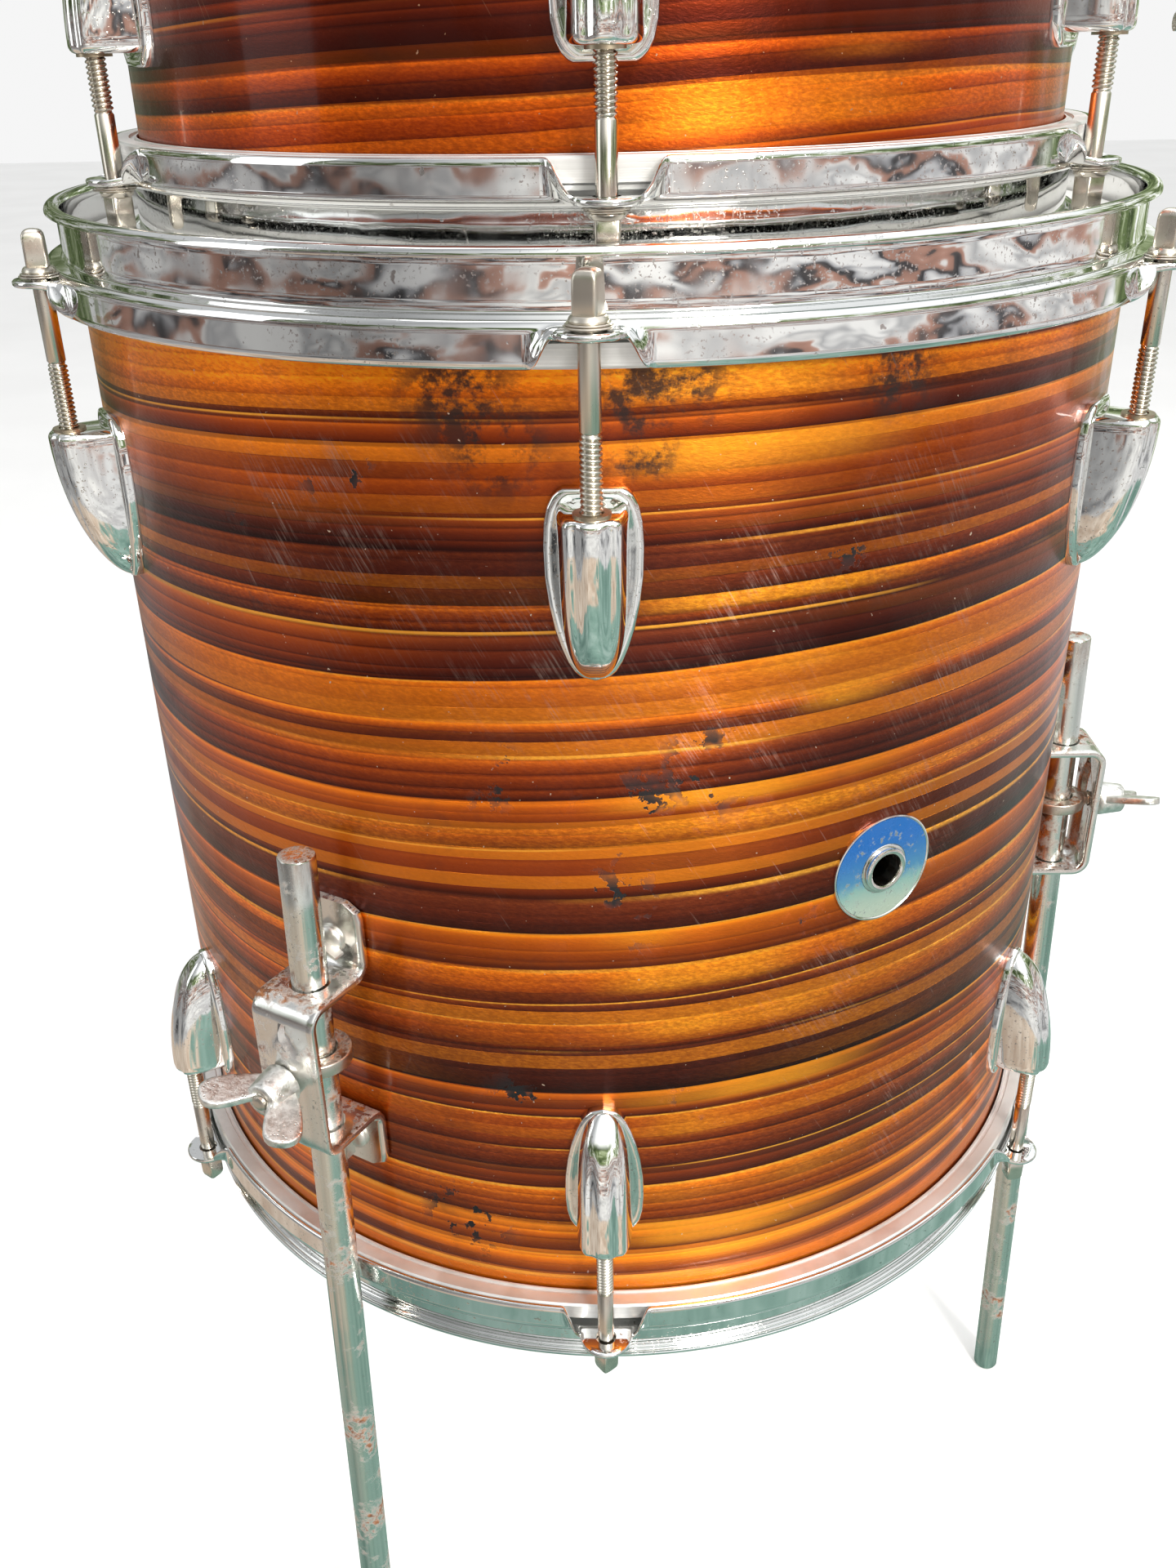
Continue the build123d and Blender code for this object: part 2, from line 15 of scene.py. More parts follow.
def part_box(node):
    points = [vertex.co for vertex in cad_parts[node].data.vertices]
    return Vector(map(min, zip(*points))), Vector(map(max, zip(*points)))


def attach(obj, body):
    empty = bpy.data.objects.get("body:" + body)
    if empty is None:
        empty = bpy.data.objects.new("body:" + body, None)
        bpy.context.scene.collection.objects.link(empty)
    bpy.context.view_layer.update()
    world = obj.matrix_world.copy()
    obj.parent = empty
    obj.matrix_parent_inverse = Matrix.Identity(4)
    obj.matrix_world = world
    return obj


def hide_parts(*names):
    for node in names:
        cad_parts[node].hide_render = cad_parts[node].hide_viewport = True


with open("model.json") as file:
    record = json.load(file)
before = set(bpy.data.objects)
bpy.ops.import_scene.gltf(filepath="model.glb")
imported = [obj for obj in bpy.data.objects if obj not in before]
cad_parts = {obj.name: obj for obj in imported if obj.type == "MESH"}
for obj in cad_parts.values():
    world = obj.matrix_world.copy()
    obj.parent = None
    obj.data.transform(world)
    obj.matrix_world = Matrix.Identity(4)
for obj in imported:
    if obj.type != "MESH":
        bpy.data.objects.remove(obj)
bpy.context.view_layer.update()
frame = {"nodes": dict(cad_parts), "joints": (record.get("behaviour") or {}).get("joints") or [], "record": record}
MM = 0.001
random.seed(12)

# ---------------------------------------------------------------------------- mesh helpers


def loft(rings, closed=True, loop=False, caps=True):
    """Join rings of equal length with quads. A closed ring's last point joins its first."""
    verts = [Vector(p) for ring in rings for p in ring]
    n = len(rings[0])
    faces = []
    rows = len(rings) if loop else len(rings) - 1
    columns = n if closed else n - 1
    for i in range(rows):
        a = i * n
        b = ((i + 1) % len(rings)) * n
        for j in range(columns):
            k = (j + 1) % n
            faces.append((a + j, a + k, b + k, b + j))
    if caps and not loop and closed:
        faces.append(tuple(range(n - 1, -1, -1)))
        faces.append(tuple(range(len(verts) - n, len(verts))))
    return verts, faces


def mm(*points):
    """Points given in millimetres."""
    return [tuple(value * MM for value in point) for point in points]


def lathe(outline, steps):
    """Revolve a closed (r, z) outline about Z. Points on the axis are merged later."""
    rings = []
    for i in range(steps):
        a = 2 * math.pi * i / steps
        rings.append([(r * math.sin(a), -r * math.cos(a), z) for r, z in outline])
    return loft(rings, closed=True, loop=True)


def superellipse(half_x, half_y, n, power):
    """Points round a rounded rectangle; a higher power is squarer."""
    points = []
    for i in range(n):
        a = 2 * math.pi * i / n
        c, s = math.cos(a), math.sin(a)
        x = half_x * math.copysign(abs(c) ** (2 / power), c)
        y = half_y * math.copysign(abs(s) ** (2 / power), s)
        points.append((x, y))
    return points


def moved(part, matrix):
    verts, faces = part
    return [matrix @ v for v in verts], faces


def axis_frame(origin, direction, hint=(0, 0, 1)):
    """A matrix whose Z is direction, and whose Y is as near hint as it can be."""
    z = Vector(direction).normalized()
    x = Vector(hint).cross(z).normalized()
    y = z.cross(x)
    return Matrix((
        (x.x, y.x, z.x, origin[0]), (x.y, y.y, z.y, origin[1]), (x.z, y.z, z.z, origin[2]), (0, 0, 0, 1)))


def smooth_step(low, high, x):
    t = min(1.0, max(0.0, (x - low) / (high - low)))
    return t * t * (3 - 2 * t)


def face_frame(angle, radius=0.0, z=0.0, up=1):
    """The local frame (t, o, h) at an angle from the front, with its origin at that radius and height."""
    c, s = math.cos(angle), math.sin(angle)
    return Matrix(((c, s, 0, s * radius), (s, -c, 0, -c * radius), (0, 0, up, z), (0, 0, 0, 1)))


def add_object(name, data):
    thing = bpy.data.objects.new(name, data)
    bpy.context.scene.collection.objects.link(thing)
    return thing


def mesh_of(name, parts, sharp):
    """An object from several closed parts."""
    mesh = bpy.data.meshes.new(name)
    verts, faces = [], []
    for part_verts, part_faces in parts:
        base = len(verts)
        verts += part_verts
        faces += [tuple(base + i for i in face) for face in part_faces]
    mesh.from_pydata(verts, [], faces)
    clean(mesh, sharp)
    return add_object(name, mesh)


def make(name, parts, body, material, replaces, sharp=38.0):
    """One piece from several closed parts, riding on a CAD body."""
    piece = mesh_of(name, parts, sharp)
    piece.data.materials.append(material)
    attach(piece, body)
    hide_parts(*replaces)
    return piece


def clean(mesh, sharp):
    bm = bmesh.new()
    bm.from_mesh(mesh)
    bmesh.ops.remove_doubles(bm, verts=bm.verts, dist=1e-7)
    bmesh.ops.dissolve_degenerate(bm, edges=bm.edges, dist=1e-7)
    bmesh.ops.recalc_face_normals(bm, faces=bm.faces)
    bm.to_mesh(mesh)
    bm.free()
    mesh.shade_smooth()
    mesh.set_sharp_from_angle(angle=math.radians(sharp))


def settle(piece, sharp=38.0):
    """Apply a piece's modifiers to its mesh."""
    bpy.context.view_layer.update()
    graph = bpy.context.evaluated_depsgraph_get()
    mesh = bpy.data.meshes.new_from_object(piece.evaluated_get(graph))
    piece.modifiers.clear()
    piece.data = mesh
    clean(mesh, sharp)


def drill(piece, cutters, sharp=38.0):
    """Cut holes: cutters are closed parts."""
    cutter = mesh_of("cutter", cutters, sharp)
    boolean = piece.modifiers.new("cut", "BOOLEAN")
    boolean.object = cutter
    boolean.operation = "DIFFERENCE"
    boolean.solver = "EXACT"
    settle(piece, sharp)
    bpy.data.objects.remove(cutter)


def rod_part(outline, segments=24):
    """A turned part from an open (r, z) outline along Z, closed on the axis at both ends."""
    return lathe([(0, outline[0][1])] + outline + [(0, outline[-1][1])], segments)


def turtle(start, heading, moves):
    """A plan path of straight runs and arcs: ("run", length) or ("arc", radius, degrees, steps)."""
    x, y = start
    points = [(x, y)]
    for move in moves:
        if move[0] == "run":
            x += move[1] * math.cos(heading)
            y += move[1] * math.sin(heading)
            points.append((x, y))
        else:
            turn = math.radians(move[2])
            for _ in range(move[3]):
                step = turn / move[3]
                chord = 2 * move[1] * math.sin(abs(step) / 2)
                heading += step / 2
                x += chord * math.cos(heading)
                y += chord * math.sin(heading)
                heading += step / 2
                points.append((x, y))
    return points


def thicken(path, thickness, edge=0.25):
    """A closed outline round an open path, with its four corners softened."""
    left, right = [], []
    last = len(path) - 1
    for i, (x, y) in enumerate(path):
        ax, ay = path[max(i - 1, 0)]
        bx, by = path[min(i + 1, last)]
        long = math.hypot(bx - ax, by - ay)
        dx, dy = (bx - ax) / long, (by - ay) / long
        half = thickness / 2
        if i in (0, last):
            inward = edge * thickness * (1 if i == 0 else -1)
            left.append((x - dy * half + dx * inward, y + dx * half + dy * inward))
            right.append((x + dy * half + dx * inward, y - dx * half + dy * inward))
            soft = half - edge * thickness
            left.insert(0 if i == 0 else len(left), (x - dy * soft, y + dx * soft))
            right.insert(0 if i == 0 else len(right), (x + dy * soft, y - dx * soft))
        else:
            left.append((x - dy * half, y + dx * half))
            right.append((x + dy * half, y - dx * half))
    return left + right[::-1]


# ---------------------------------------------------------------------------- the drums, from the frame
WRAP_INSET = 3.0 * MM       # the covering stops short of the bearing edges
ROD_TO_LUG = 28.0 * MM      # a rod's end beyond the rod end of its lug


class Drum:
    """One drum's measures, read from its CAD nodes."""

    def __init__(self, name):
        low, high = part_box(f"{name}_wrap")
        self.name = name
        self.body = name
        self.radius = (high.x - low.x) / 2
        self.edges = {"batter": high.z + WRAP_INSET, "resonant": low.z - WRAP_INSET}
        rod_low, rod_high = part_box(f"{name}_batter_rod_1")
        middle = (rod_low + rod_high) / 2
        self.rod_circle = math.hypot(middle.x, middle.y)
        self.first_angle = math.atan2(middle.x, -middle.y)
        self.lug_drop = self.edges["batter"] - rod_low.z - ROD_TO_LUG
        self.rod_tip = rod_high.z - self.edges["batter"]

    def angles(self):
        return [self.first_angle + i * math.pi / 3 for i in range(6)]

    def at(self, side, angle):
        """The local frame (t, o, h) on the covering's face, at one bearing edge."""
        return face_frame(angle, self.radius, self.edges[side], 1 if side == "batter" else -1)

    def end(self, side):
        """A frame on the drum's axis at one bearing edge, with +Z beyond the edge."""
        sign = 1 if side == "batter" else -1
        return Matrix(((1, 0, 0, 0), (0, 1, 0, 0), (0, 0, sign, self.edges[side]), (0, 0, 0, 1)))


FLOOR_TOM = Drum("floor_tom")
SMALL_TOM = Drum("small_tom")
DRUMS = (FLOOR_TOM, SMALL_TOM)
SIDES = ("batter", "resonant")

# ---------------------------------------------------------------------------- hoops
HOOP_PLATE = 1.8 * MM
WALL_OUT = 2.8 * MM         # middle of the hoop's wall, outward from the covering
LIP_TOP = 11.2 * MM
SHOULDER_TOP = -4.6 * MM
SKIRT_OUT = 9.4 * MM
SKIRT_BOTTOM = -16.7 * MM
TAB_TOP = -6.2 * MM
TAB_OUT = 21.9 * MM
TAB_HALF = 8.6 * MM         # half the tab's width
FOLD_HALF = 15.6 * MM       # half the width over which the skirt folds out into a tab
ROD_HOLE_R = 3.6 * MM
EAR_STEP = 0.75 * MM        # between a hoop's sections at an ear
EAR_STEPS = 22              # fine sections to each side of the ear's middle
PLAIN_STEP = 3.2 * MM       # between the sections elsewhere


def hoop_outline(skew, tab):
    """A hoop's section in (o, h): skew is 0 in the plain skirt and 1 at a tab, whose reach there is tab."""
    plate = HOOP_PLATE
    path = turtle((WALL_OUT + 2.9 * MM, LIP_TOP - 2.5 * MM), math.radians(80), [
        ("run", 0.3 * MM), ("arc", 1.15 * MM, 100, 5), ("run", 0.9 * MM), ("arc", 1.3 * MM, 90, 5)])
    shift = WALL_OUT - path[-1][0]
    path = [(o + shift, h) for o, h in path]
    bend = 1.7 * MM
    wall_end = SHOULDER_TOP - plate / 2 + bend
    steps = 5
    path += [(WALL_OUT, path[-1][1] + (wall_end - path[-1][1]) * (i + 1) / steps) for i in range(steps)]
    turn_1 = 85 - 42 * skew
    turn_2 = -85 - 5 + turn_1 + 90 * skew
    across = SKIRT_OUT - WALL_OUT - 2 * bend - 0.2 * MM
    tail = turtle(path[-1], math.radians(-90), [
        ("arc", bend, 85, 5), ("run", across), ("arc", bend, -turn_1, 5), ("run", 0.6 * MM),
        ("arc", bend, turn_2, 5)])
    path += tail[1:]
    heading = -math.pi / 2 * (1 - skew)
    o, h = path[-1]
    long = (h - SKIRT_BOTTOM) * (1 - skew) + (tab - o) * skew
    for i in range(1, 5):
        share = i / 4
        path.append((o + long * share * math.cos(heading), h + long * share * math.sin(heading)))
    return thicken(path, plate)


def tab_reach(t):
    """How far out a tab's edge is at t across it: straight sides and a round end."""
    centre = TAB_OUT - TAB_HALF
    inside = max(0.0, TAB_HALF ** 2 - t * t)
    return max(centre + math.sqrt(inside), SKIRT_OUT + 3.5 * MM)


def hoop_steps(drum):
    """Angles round a hoop, close together at the ears."""
    radius = drum.radius + SKIRT_OUT
    ear_half = EAR_STEPS * EAR_STEP
    fine = [i * EAR_STEP for i in range(-EAR_STEPS, EAR_STEPS + 1)]
    gap = radius * math.pi / 3 - 2 * ear_half
    count = round(gap / PLAIN_STEP)
    coarse = [ear_half + gap * i / count for i in range(1, count)]
    return [[(angle + t / radius, t) for t in fine + coarse] for angle in drum.angles()]


def build_hoop(drum, side, material):
    rings = []
    for ear in hoop_steps(drum):
        for angle, t in ear:
            skew = 1 - smooth_step(TAB_HALF * 0.86, FOLD_HALF, abs(t))
            outline = hoop_outline(skew, tab_reach(t))
            c, s = math.cos(angle), math.sin(angle)
            rings.append([((drum.radius + o) * s, -(drum.radius + o) * c, h) for o, h in outline])
    part = moved(loft(rings, closed=True, loop=True), drum.end(side))
    name = f"{drum.name}_{side}_hoop"
    piece = make(name + "_pressed", [part], drum.body, material, (name,), sharp=50)
    holes = []
    for angle in drum.angles():
        hole = rod_part([(ROD_HOLE_R, -4 * MM), (ROD_HOLE_R, 4 * MM)], 24)
        out = drum.rod_circle - drum.radius
        holes.append(moved(hole, drum.at(side, angle) @ Matrix.Translation((0, out, TAB_TOP - 1 * MM))))
    drill(piece, holes, sharp=50)


# ---------------------------------------------------------------------------- tension rods
SHANK_R = 2.8 * MM
THREAD_R = 2.95 * MM
THREAD_ROOT_R = 2.25 * MM
PITCH = 1.4 * MM
KEY_HALF = 3.3 * MM
# A key head's sections: share of its height, share of its width, and squareness
KEY_SECTIONS = ((0, 0.93, 7), (0.04, 1.0, 8), (0.5, 0.985, 8), (0.76, 0.97, 8),
                (0.86, 0.93, 6), (0.93, 0.80, 5), (0.975, 0.58, 4), (1.0, 0.26, 3))
WASHER_SEAT = 0.3 * MM      # a washer's height above the ear


def thread(z_top, z_bottom, sides=20, rows_per_turn=7):
    """A screw thread's surface along Z, closed at both ends."""
    step = PITCH / rows_per_turn
    rows = int((z_top - z_bottom) / step)
    rings = []
    for i in range(rows + 1):
        z = z_top - i * step
        ring = []
        for j in range(sides):
            turn = j / sides
            phase = (z / PITCH + turn) % 1.0
            crest = 1 - abs(2 * phase - 1)
            ends = min(1.0, i / rows_per_turn, (rows - i) / rows_per_turn)
            r = THREAD_ROOT_R + (THREAD_R - THREAD_ROOT_R) * min(1.0, 1.35 * crest) * ends
            a = 2 * math.pi * turn
            ring.append((r * math.sin(a), r * math.cos(a), z))
        rings.append(ring)
    return loft(rings)


def key_head(z_low, z_high, turn):
    """A square head that tapers a little, with soft corners and a domed top."""
    tall = z_high - z_low
    rings = []
    for share, wide, power in KEY_SECTIONS:
        ring = superellipse(KEY_HALF * wide, KEY_HALF * wide, 32, power)
        rings.append([(x, y, z_low + tall * share) for x, y in ring])
    return moved(loft(rings), Matrix.Rotation(turn, 4, "Z"))


def disc(radius, hole, z_low, z_high, soft=0.2 * MM, segments=40):
    """A washer with softened edges."""
    return lathe([
        (hole, z_low), (radius - soft, z_low), (radius, z_low + soft), (radius, z_high - soft),
        (radius - soft, z_high), (hole, z_high)], segments)


def rod_parts(drum, seed):
    """A tension rod in its own frame: Z beyond the bearing edge, on the rod's axis."""
    pick = random.Random(seed)
    seat = TAB_TOP + WASHER_SEAT
    flange = seat + 1.2 * MM
    thread_top = -0.5 * (drum.lug_drop - TAB_TOP) - 4 * MM
    end = -drum.lug_drop - ROD_TO_LUG
    hidden = -drum.lug_drop - 6.5 * MM
    parts = [key_head(flange + 1.5 * MM, drum.rod_tip, pick.uniform(0, math.pi / 2))]
    collar = [(r, flange + z) for r, z in mm((4.2, 1.7), (4.7, 1.2), (5.0, 0.5), (4.8, 0), (1.96, -0.1))]
    parts.append(rod_part(collar, 40))
    parts.append(disc(6.2 * MM, SHANK_R + 0.05 * MM, seat, seat + 0.55 * MM))
    parts.append(disc(5.7 * MM, SHANK_R + 0.05 * MM, seat + 0.6 * MM, seat + 1.15 * MM))
    parts.append(rod_part([(SHANK_R, flange + 0.2 * MM), (SHANK_R, thread_top + 0.6 * MM),
                           (THREAD_ROOT_R + 0.1 * MM, thread_top)], 28))
    parts.append(thread(thread_top + 0.4 * MM, hidden))
    parts.append(rod_part([(THREAD_ROOT_R, hidden + 0.4 * MM), (THREAD_ROOT_R, end + 0.8 * MM),
                           (THREAD_ROOT_R * 0.7, end)], 16))
    return parts


def build_rods(drum, side, material):
    for i, angle in enumerate(drum.angles()):
        name = f"{drum.name}_{side}_rod_{i + 1}"
        out = drum.rod_circle - drum.radius
        place = drum.at(side, angle) @ Matrix.Translation((0, out, 0))
        parts = [moved(part, place) for part in rod_parts(drum, name)]
        make(name + "_turned", parts, name, material, (name,))


# ---------------------------------------------------------------------------- lugs
LUG_LONG = 54.0 * MM
LUG_HALF = 13.4 * MM        # half the flange's width
LUG_BODY_HALF = 9.6 * MM
LUG_OUT = 20.4 * MM
LUG_STEP = 3.8 * MM         # the body's rod end stands in from the flange's
LUG_ROUND = 2.2 * MM        # rounding of the body's rod end
LUG_SIDE = 1.2 * MM         # height of the body's side walls
FLUTE_DEEP = 1.5 * MM
FLUTE_AT = 0.47             # a flute's middle, and its width, as shares of the body's half width
FLUTE_WIDE = 0.17
# The flange's outline: share of its length from the rod end, and share of its half width
LUG_OUTLINE = ((0.0, 0.57), (0.012, 0.67), (0.04, 0.79), (0.09, 0.90), (0.17, 0.97), (0.29, 1.0),
               (0.45, 0.985), (0.60, 0.91), (0.72, 0.81), (0.82, 0.69), (0.90, 0.56), (0.95, 0.43),
               (0.98, 0.29), (1.0, 0.0))
# The flange's section from its edge inward: inset and height off the shell, in mm
LUG_BEAD = ((0.0, 0.05), (0.0, 2.0), (0.12, 2.6), (0.45, 3.0), (1.0, 3.2), (1.7, 3.15), (2.5, 2.8),
            (3.2, 2.2), (4.0, 1.8), (5.2, 1.7))


def along(table, x):
    """The value at x on straight lines between (x, value) pairs."""
    for (x_0, y_0), (x_1, y_1) in zip(table, table[1:]):
        if x <= x_1:
            return y_0 + (y_1 - y_0) * (x - x_0) / (x_1 - x_0)
    return table[-1][1]


def lug_body(drum):
    """The fluted body, as sections across it: square at the rod end and falling in a curve to the tip."""
    n = 61
    long = LUG_LONG - LUG_STEP - 0.6 * MM
    depths = [LUG_ROUND * d for d in (0.0, 0.06, 0.2, 0.42, 0.7, 1.0)]
    depths += [LUG_ROUND + (long - LUG_ROUND) * math.sin(math.pi / 2 * i / 34) for i in range(1, 35)]
    rings = []
    for depth in depths:
        v = depth / long
        short = max(0.0, 1 - depth / LUG_ROUND)
        inset = LUG_ROUND * (1 - math.sqrt(1 - short ** 2))
        half = LUG_BODY_HALF * max(0.0, 1 - v ** 5.0) ** 0.5 * (1 - 0.06 * v) - 0.8 * inset + 0.02 * MM
        high = LUG_OUT * (0.04 + 0.96 * max(0.0, 1 - v ** 2.1) ** 0.58) - inset
        flute = FLUTE_DEEP * (1 - 0.5 * short) * (1 - smooth_step(0.45, 0.86, v))
        ring = []
        for j in range(n):
            u = math.sin(math.pi * (j / (n - 1) - 0.5))
            crown = max(0.0, 1 - abs(u) ** 4.2) ** (1 / 2.6)
            groove = math.exp(-((abs(u) - FLUTE_AT) / FLUTE_WIDE) ** 2)
            o = LUG_SIDE + (high - LUG_SIDE) * crown - flute * groove
            t = half * u
            ring.append((t, o - curve_drop(drum, t), -drum.lug_drop - LUG_STEP - depth))
        rings.append(ring)
    return loft(rings)


def curve_drop(drum, t):
    """How far the covering's face curves away at t to the side."""
    return drum.radius - math.sqrt(drum.radius ** 2 - t * t)


def lug_loop(drum, inset, o, count=96):
    """One closed loop of the flange's outline, drawn in by inset and at height o off the shell."""
    loop = []
    for j in range(count):
        a = 2 * math.pi * j / count
        v = 0.5 - 0.5 * math.cos(a)
        half = max(0.0, LUG_HALF * along(LUG_OUTLINE, v) - inset)
        t = math.copysign(half, math.sin(a)) if j % (count // 2) else 0.0
        h = -drum.lug_drop - inset - v * (LUG_LONG - 2 * inset)
        loop.append((t, o * MM - curve_drop(drum, t), h))
    return loop


def lug_flange(drum):
    """The rim round the body: a rounded bead with a valley inside it."""
    return loft([lug_loop(drum, inset * MM, o) for inset, o in LUG_BEAD])


def lug_collar(drum):
    """The raised ring round the rod's hole at the rod end."""
    top = -drum.lug_drop - LUG_STEP
    ring = lathe(mm((3.35, -2), (4.7, -2), (4.7, 0.1), (4.4, 0.5), (3.8, 0.6), (3.4, 0.3)), 36)
    return moved(ring, Matrix.Translation((0, drum.rod_circle - drum.radius, top)))


def build_lugs(drum, material):
    for side in SIDES:
        for i, angle in enumerate(drum.angles()):
            place = drum.at(side, angle)
            parts = [moved(part, place) for part in (lug_flange(drum), lug_body(drum), lug_collar(drum))]
            name = f"{drum.name}_{side}_lug_{i + 1}"
            make(name, parts, drum.body, material, (f"{drum.name}_lugs",), sharp=48)


# ---------------------------------------------------------------------------- heads and covering
FILM = 0.4 * MM             # thickness of a head
# The flesh hoop's section in (o, h)
FLESH_HOOP = mm((0.75, -8.5), (5.6, -8.5), (6.1, -8.9), (6.2, -10), (7.3, -10.2), (7.8, -10.7), (7.8, -16.2),
                (7.2, -16.9), (3.15, -16.9), (2.75, -16.1), (1.65, -16.1), (1.25, -16.9), (0.75, -16.9))


def build_head(drum, side, film, metal):
    """The coated film with its collar, and the flesh hoop that holds it."""
    r = drum.radius
    crest = r - 2.5 * MM
    outline = [(0, 0.0), (crest - 2 * MM, 0.0), (crest, -0.1 * MM)]
    outer = [(0, FILM), (crest - 2 * MM, FILM), (crest + 0.1 * MM, FILM * 0.8)]
    for i in range(1, 7):
        a = math.pi / 2 * i / 6
        outline.append((crest + 2.8 * MM * math.sin(a), -0.1 * MM - 3.2 * MM * (1 - math.cos(a))))
        outer.append((crest + 0.1 * MM + 3.1 * MM * math.sin(a), FILM * 0.8 - 3.4 * MM * (1 - math.cos(a))))
    outline.append((r + 0.35 * MM, -12 * MM))
    outer.append((r + 0.72 * MM, -12 * MM))
    name = f"{drum.name}_{side}"
    part = moved(lathe(outline + outer[::-1], 256), drum.end(side))
    make(name + "_head_film", [part], drum.body, film, (name + "_head",), sharp=60)
    ring = lathe([(r + o, h) for o, h in FLESH_HOOP], 256)
    make(name + "_flesh_ring", [moved(ring, drum.end(side))], drum.body, metal,
         (name + "_flesh_hoop",))


SEAM_HALF = 7.0 * MM        # half the width over which the covering overlaps itself, at the back
SEAM_STEP = 0.35 * MM
VENT_R = 6.5 * MM


def build_wrap(drum, material):
    """The covering, with a lapped seam at the back, and a UV in metres: round the drum, and up it."""
    low, high = drum.edges["resonant"] + WRAP_INSET, drum.edges["batter"] - WRAP_INSET
    thick = 0.5 * MM
    columns, rows = 360, 12
    levels = [low + 0.15 * MM] + [low + (high - low) * i / rows for i in range(1, rows)] + [high - 0.15 * MM]
    rings = []
    for i in range(columns):
        a = 2 * math.pi * i / columns
        lap = SEAM_STEP if abs(a - math.pi) * drum.radius < SEAM_HALF else 0.0
        r = drum.radius + lap
        profile = [(drum.radius - thick + 0.02 * MM, low), (r - 0.15 * MM, low)] + [(r, z) for z in levels]
        profile += [(r - 0.15 * MM, high), (drum.radius - thick + 0.02 * MM, high)]
        rings.append([(r_in * math.sin(a), -r_in * math.cos(a), z) for r_in, z in profile])
    name = f"{drum.name}_wrap"
    sheet = loft(rings, closed=True, loop=True)
    piece = make(name + "_covering", [sheet], drum.body, material, (name,))
    low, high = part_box(VENTS[drum.name])
    centre = (low + high) / 2
    direction = Vector((centre.x, centre.y, 0)).normalized()
    start = direction * (drum.radius - 0.01)
    start.z = centre.z
    hole = rod_part([(VENT_R, 0), (VENT_R, 0.02)], 32)
    drill(piece, [moved(hole, axis_frame(start, direction))])
    unwrap(piece.data, drum.radius)


def unwrap(mesh, radius):
    """UVs in metres from angle and height, with the seam at the back."""
    layer = mesh.uv_layers.new(name="round")
    for polygon in mesh.polygons:
        centre = math.atan2(polygon.center.x, -polygon.center.y)
        for loop in polygon.loop_indices:
            co = mesh.vertices[mesh.loops[loop].vertex_index].co
            angle = math.atan2(co.x, -co.y)
            if angle - centre > math.pi:
                angle -= 2 * math.pi
            if centre - angle > math.pi:
                angle += 2 * math.pi
            layer.data[loop].uv = (angle * radius, co.z)


VENTS = {"floor_tom": "floor_tom_badge_and_vent", "small_tom": "small_tom_vent_grommet"}

# ---------------------------------------------------------------------------- legs and their clamps
LEG_NAMES = ("left", "right", "rear")
LEG_R = 6.0 * MM
STRAP = 2.8 * MM            # a bracket is one bent strap: its thickness
STRAP_HALF = 12.5 * MM      # half its width
STRAP_EDGE = 0.7 * MM       # rounding of its long edges
STRAP_FLANGE = 26.0 * MM    # length of each end that lies on the shell
STRAP_FACE = 208.0 * MM     # outer face of the front plate, from the drums' axis
NUT_SEAT = STRAP_FACE + 2.4 * MM
BOLT_END = 223.0 * MM       # tip of an eye bolt, from the drums' axis
EYE_WALL = 3.4 * MM         # from a leg's surface to the start of the eye bolt's shank
# Places across the strap's width
ACROSS = (-1, -0.985, -0.93, -0.8, -0.6, -0.45, -0.3, -0.2, -0.1, 0, 0.1, 0.2, 0.3, 0.45, 0.6, 0.8, 0.93,
          0.985, 1)
joints = {j["name"]: j for j in frame["joints"]}


class Leg:
    """One leg's axis and clamp, read from its joints and nodes."""

    def __init__(self, name):
        self.name = name
        low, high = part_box(f"leg_{name}")
        self.middle = (low + high) / 2
        self.up = Vector(joints[f"leg_{name}_height"]["axis"]).normalized()
        self.top = high.z
        nut = joints[f"wing_nut_{name}_turn"]
        self.out = Vector(nut["axis"]).normalized()
        self.bolt_z = nut["pos_m"][2]
        self.angle = math.atan2(self.out.x, -self.out.y)

    def point(self, z):
        return self.middle + self.up * ((z - self.middle.z) / self.up.z)

    def outward(self, radius, z):
        """A frame at a radius and height on this leg's side, with its Z outward."""
        return axis_frame(self.out * radius + Vector((0, 0, z)), self.out)


LEGS = [Leg(name) for name in LEG_NAMES]


def build_leg(leg, material):
    low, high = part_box(f"leg_{leg.name}")
    start = leg.point(low.z)
    long = (high.z - low.z) / leg.up.z - 0.25 * MM
    outline = mm((4.6, 0.3), (5.5, 0.6), (6.0, 1.6))
    outline += [(LEG_R, long * i / 24) for i in range(1, 24)]
    outline += [(r, long - z) for r, z in mm((6.0, 0.9), (5.75, 0.4), (5.1, 0.1), (4.4, 0))]
    part = moved(rod_part(outline, 48), axis_frame(start, leg.up, (0, 1, 0)))
    make(f"leg_{leg.name}_rod", [part], f"leg_{leg.name}", material, (f"leg_{leg.name}",))


def strap_path():
    """The strap's middle line in (o, z), from the top of the upper flange to the foot of the lower one."""
    low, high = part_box("leg_brackets")
    wall = FLOOR_TOM.radius + STRAP / 2
    face = STRAP_FACE - STRAP / 2
    upper, lower = high.z - STRAP_FLANGE, low.z + STRAP_FLANGE
    bend = 5.4 * MM
    deep = face - wall
    arc = ("arc", bend, 90, 9)
    back = ("arc", bend, -90, 9)
    plate = [("run", (upper - lower - 2 * bend) / 22)] * 22
    flange = [("run", (STRAP_FLANGE - bend) / 8)] * 8
    shelf = [("run", (deep - 2 * bend) / 5)] * 5
    moves = flange + [arc] + shelf + [back] + plate + [back] + shelf + [arc] + flange
    return turtle((wall, high.z), math.radians(-90), moves)


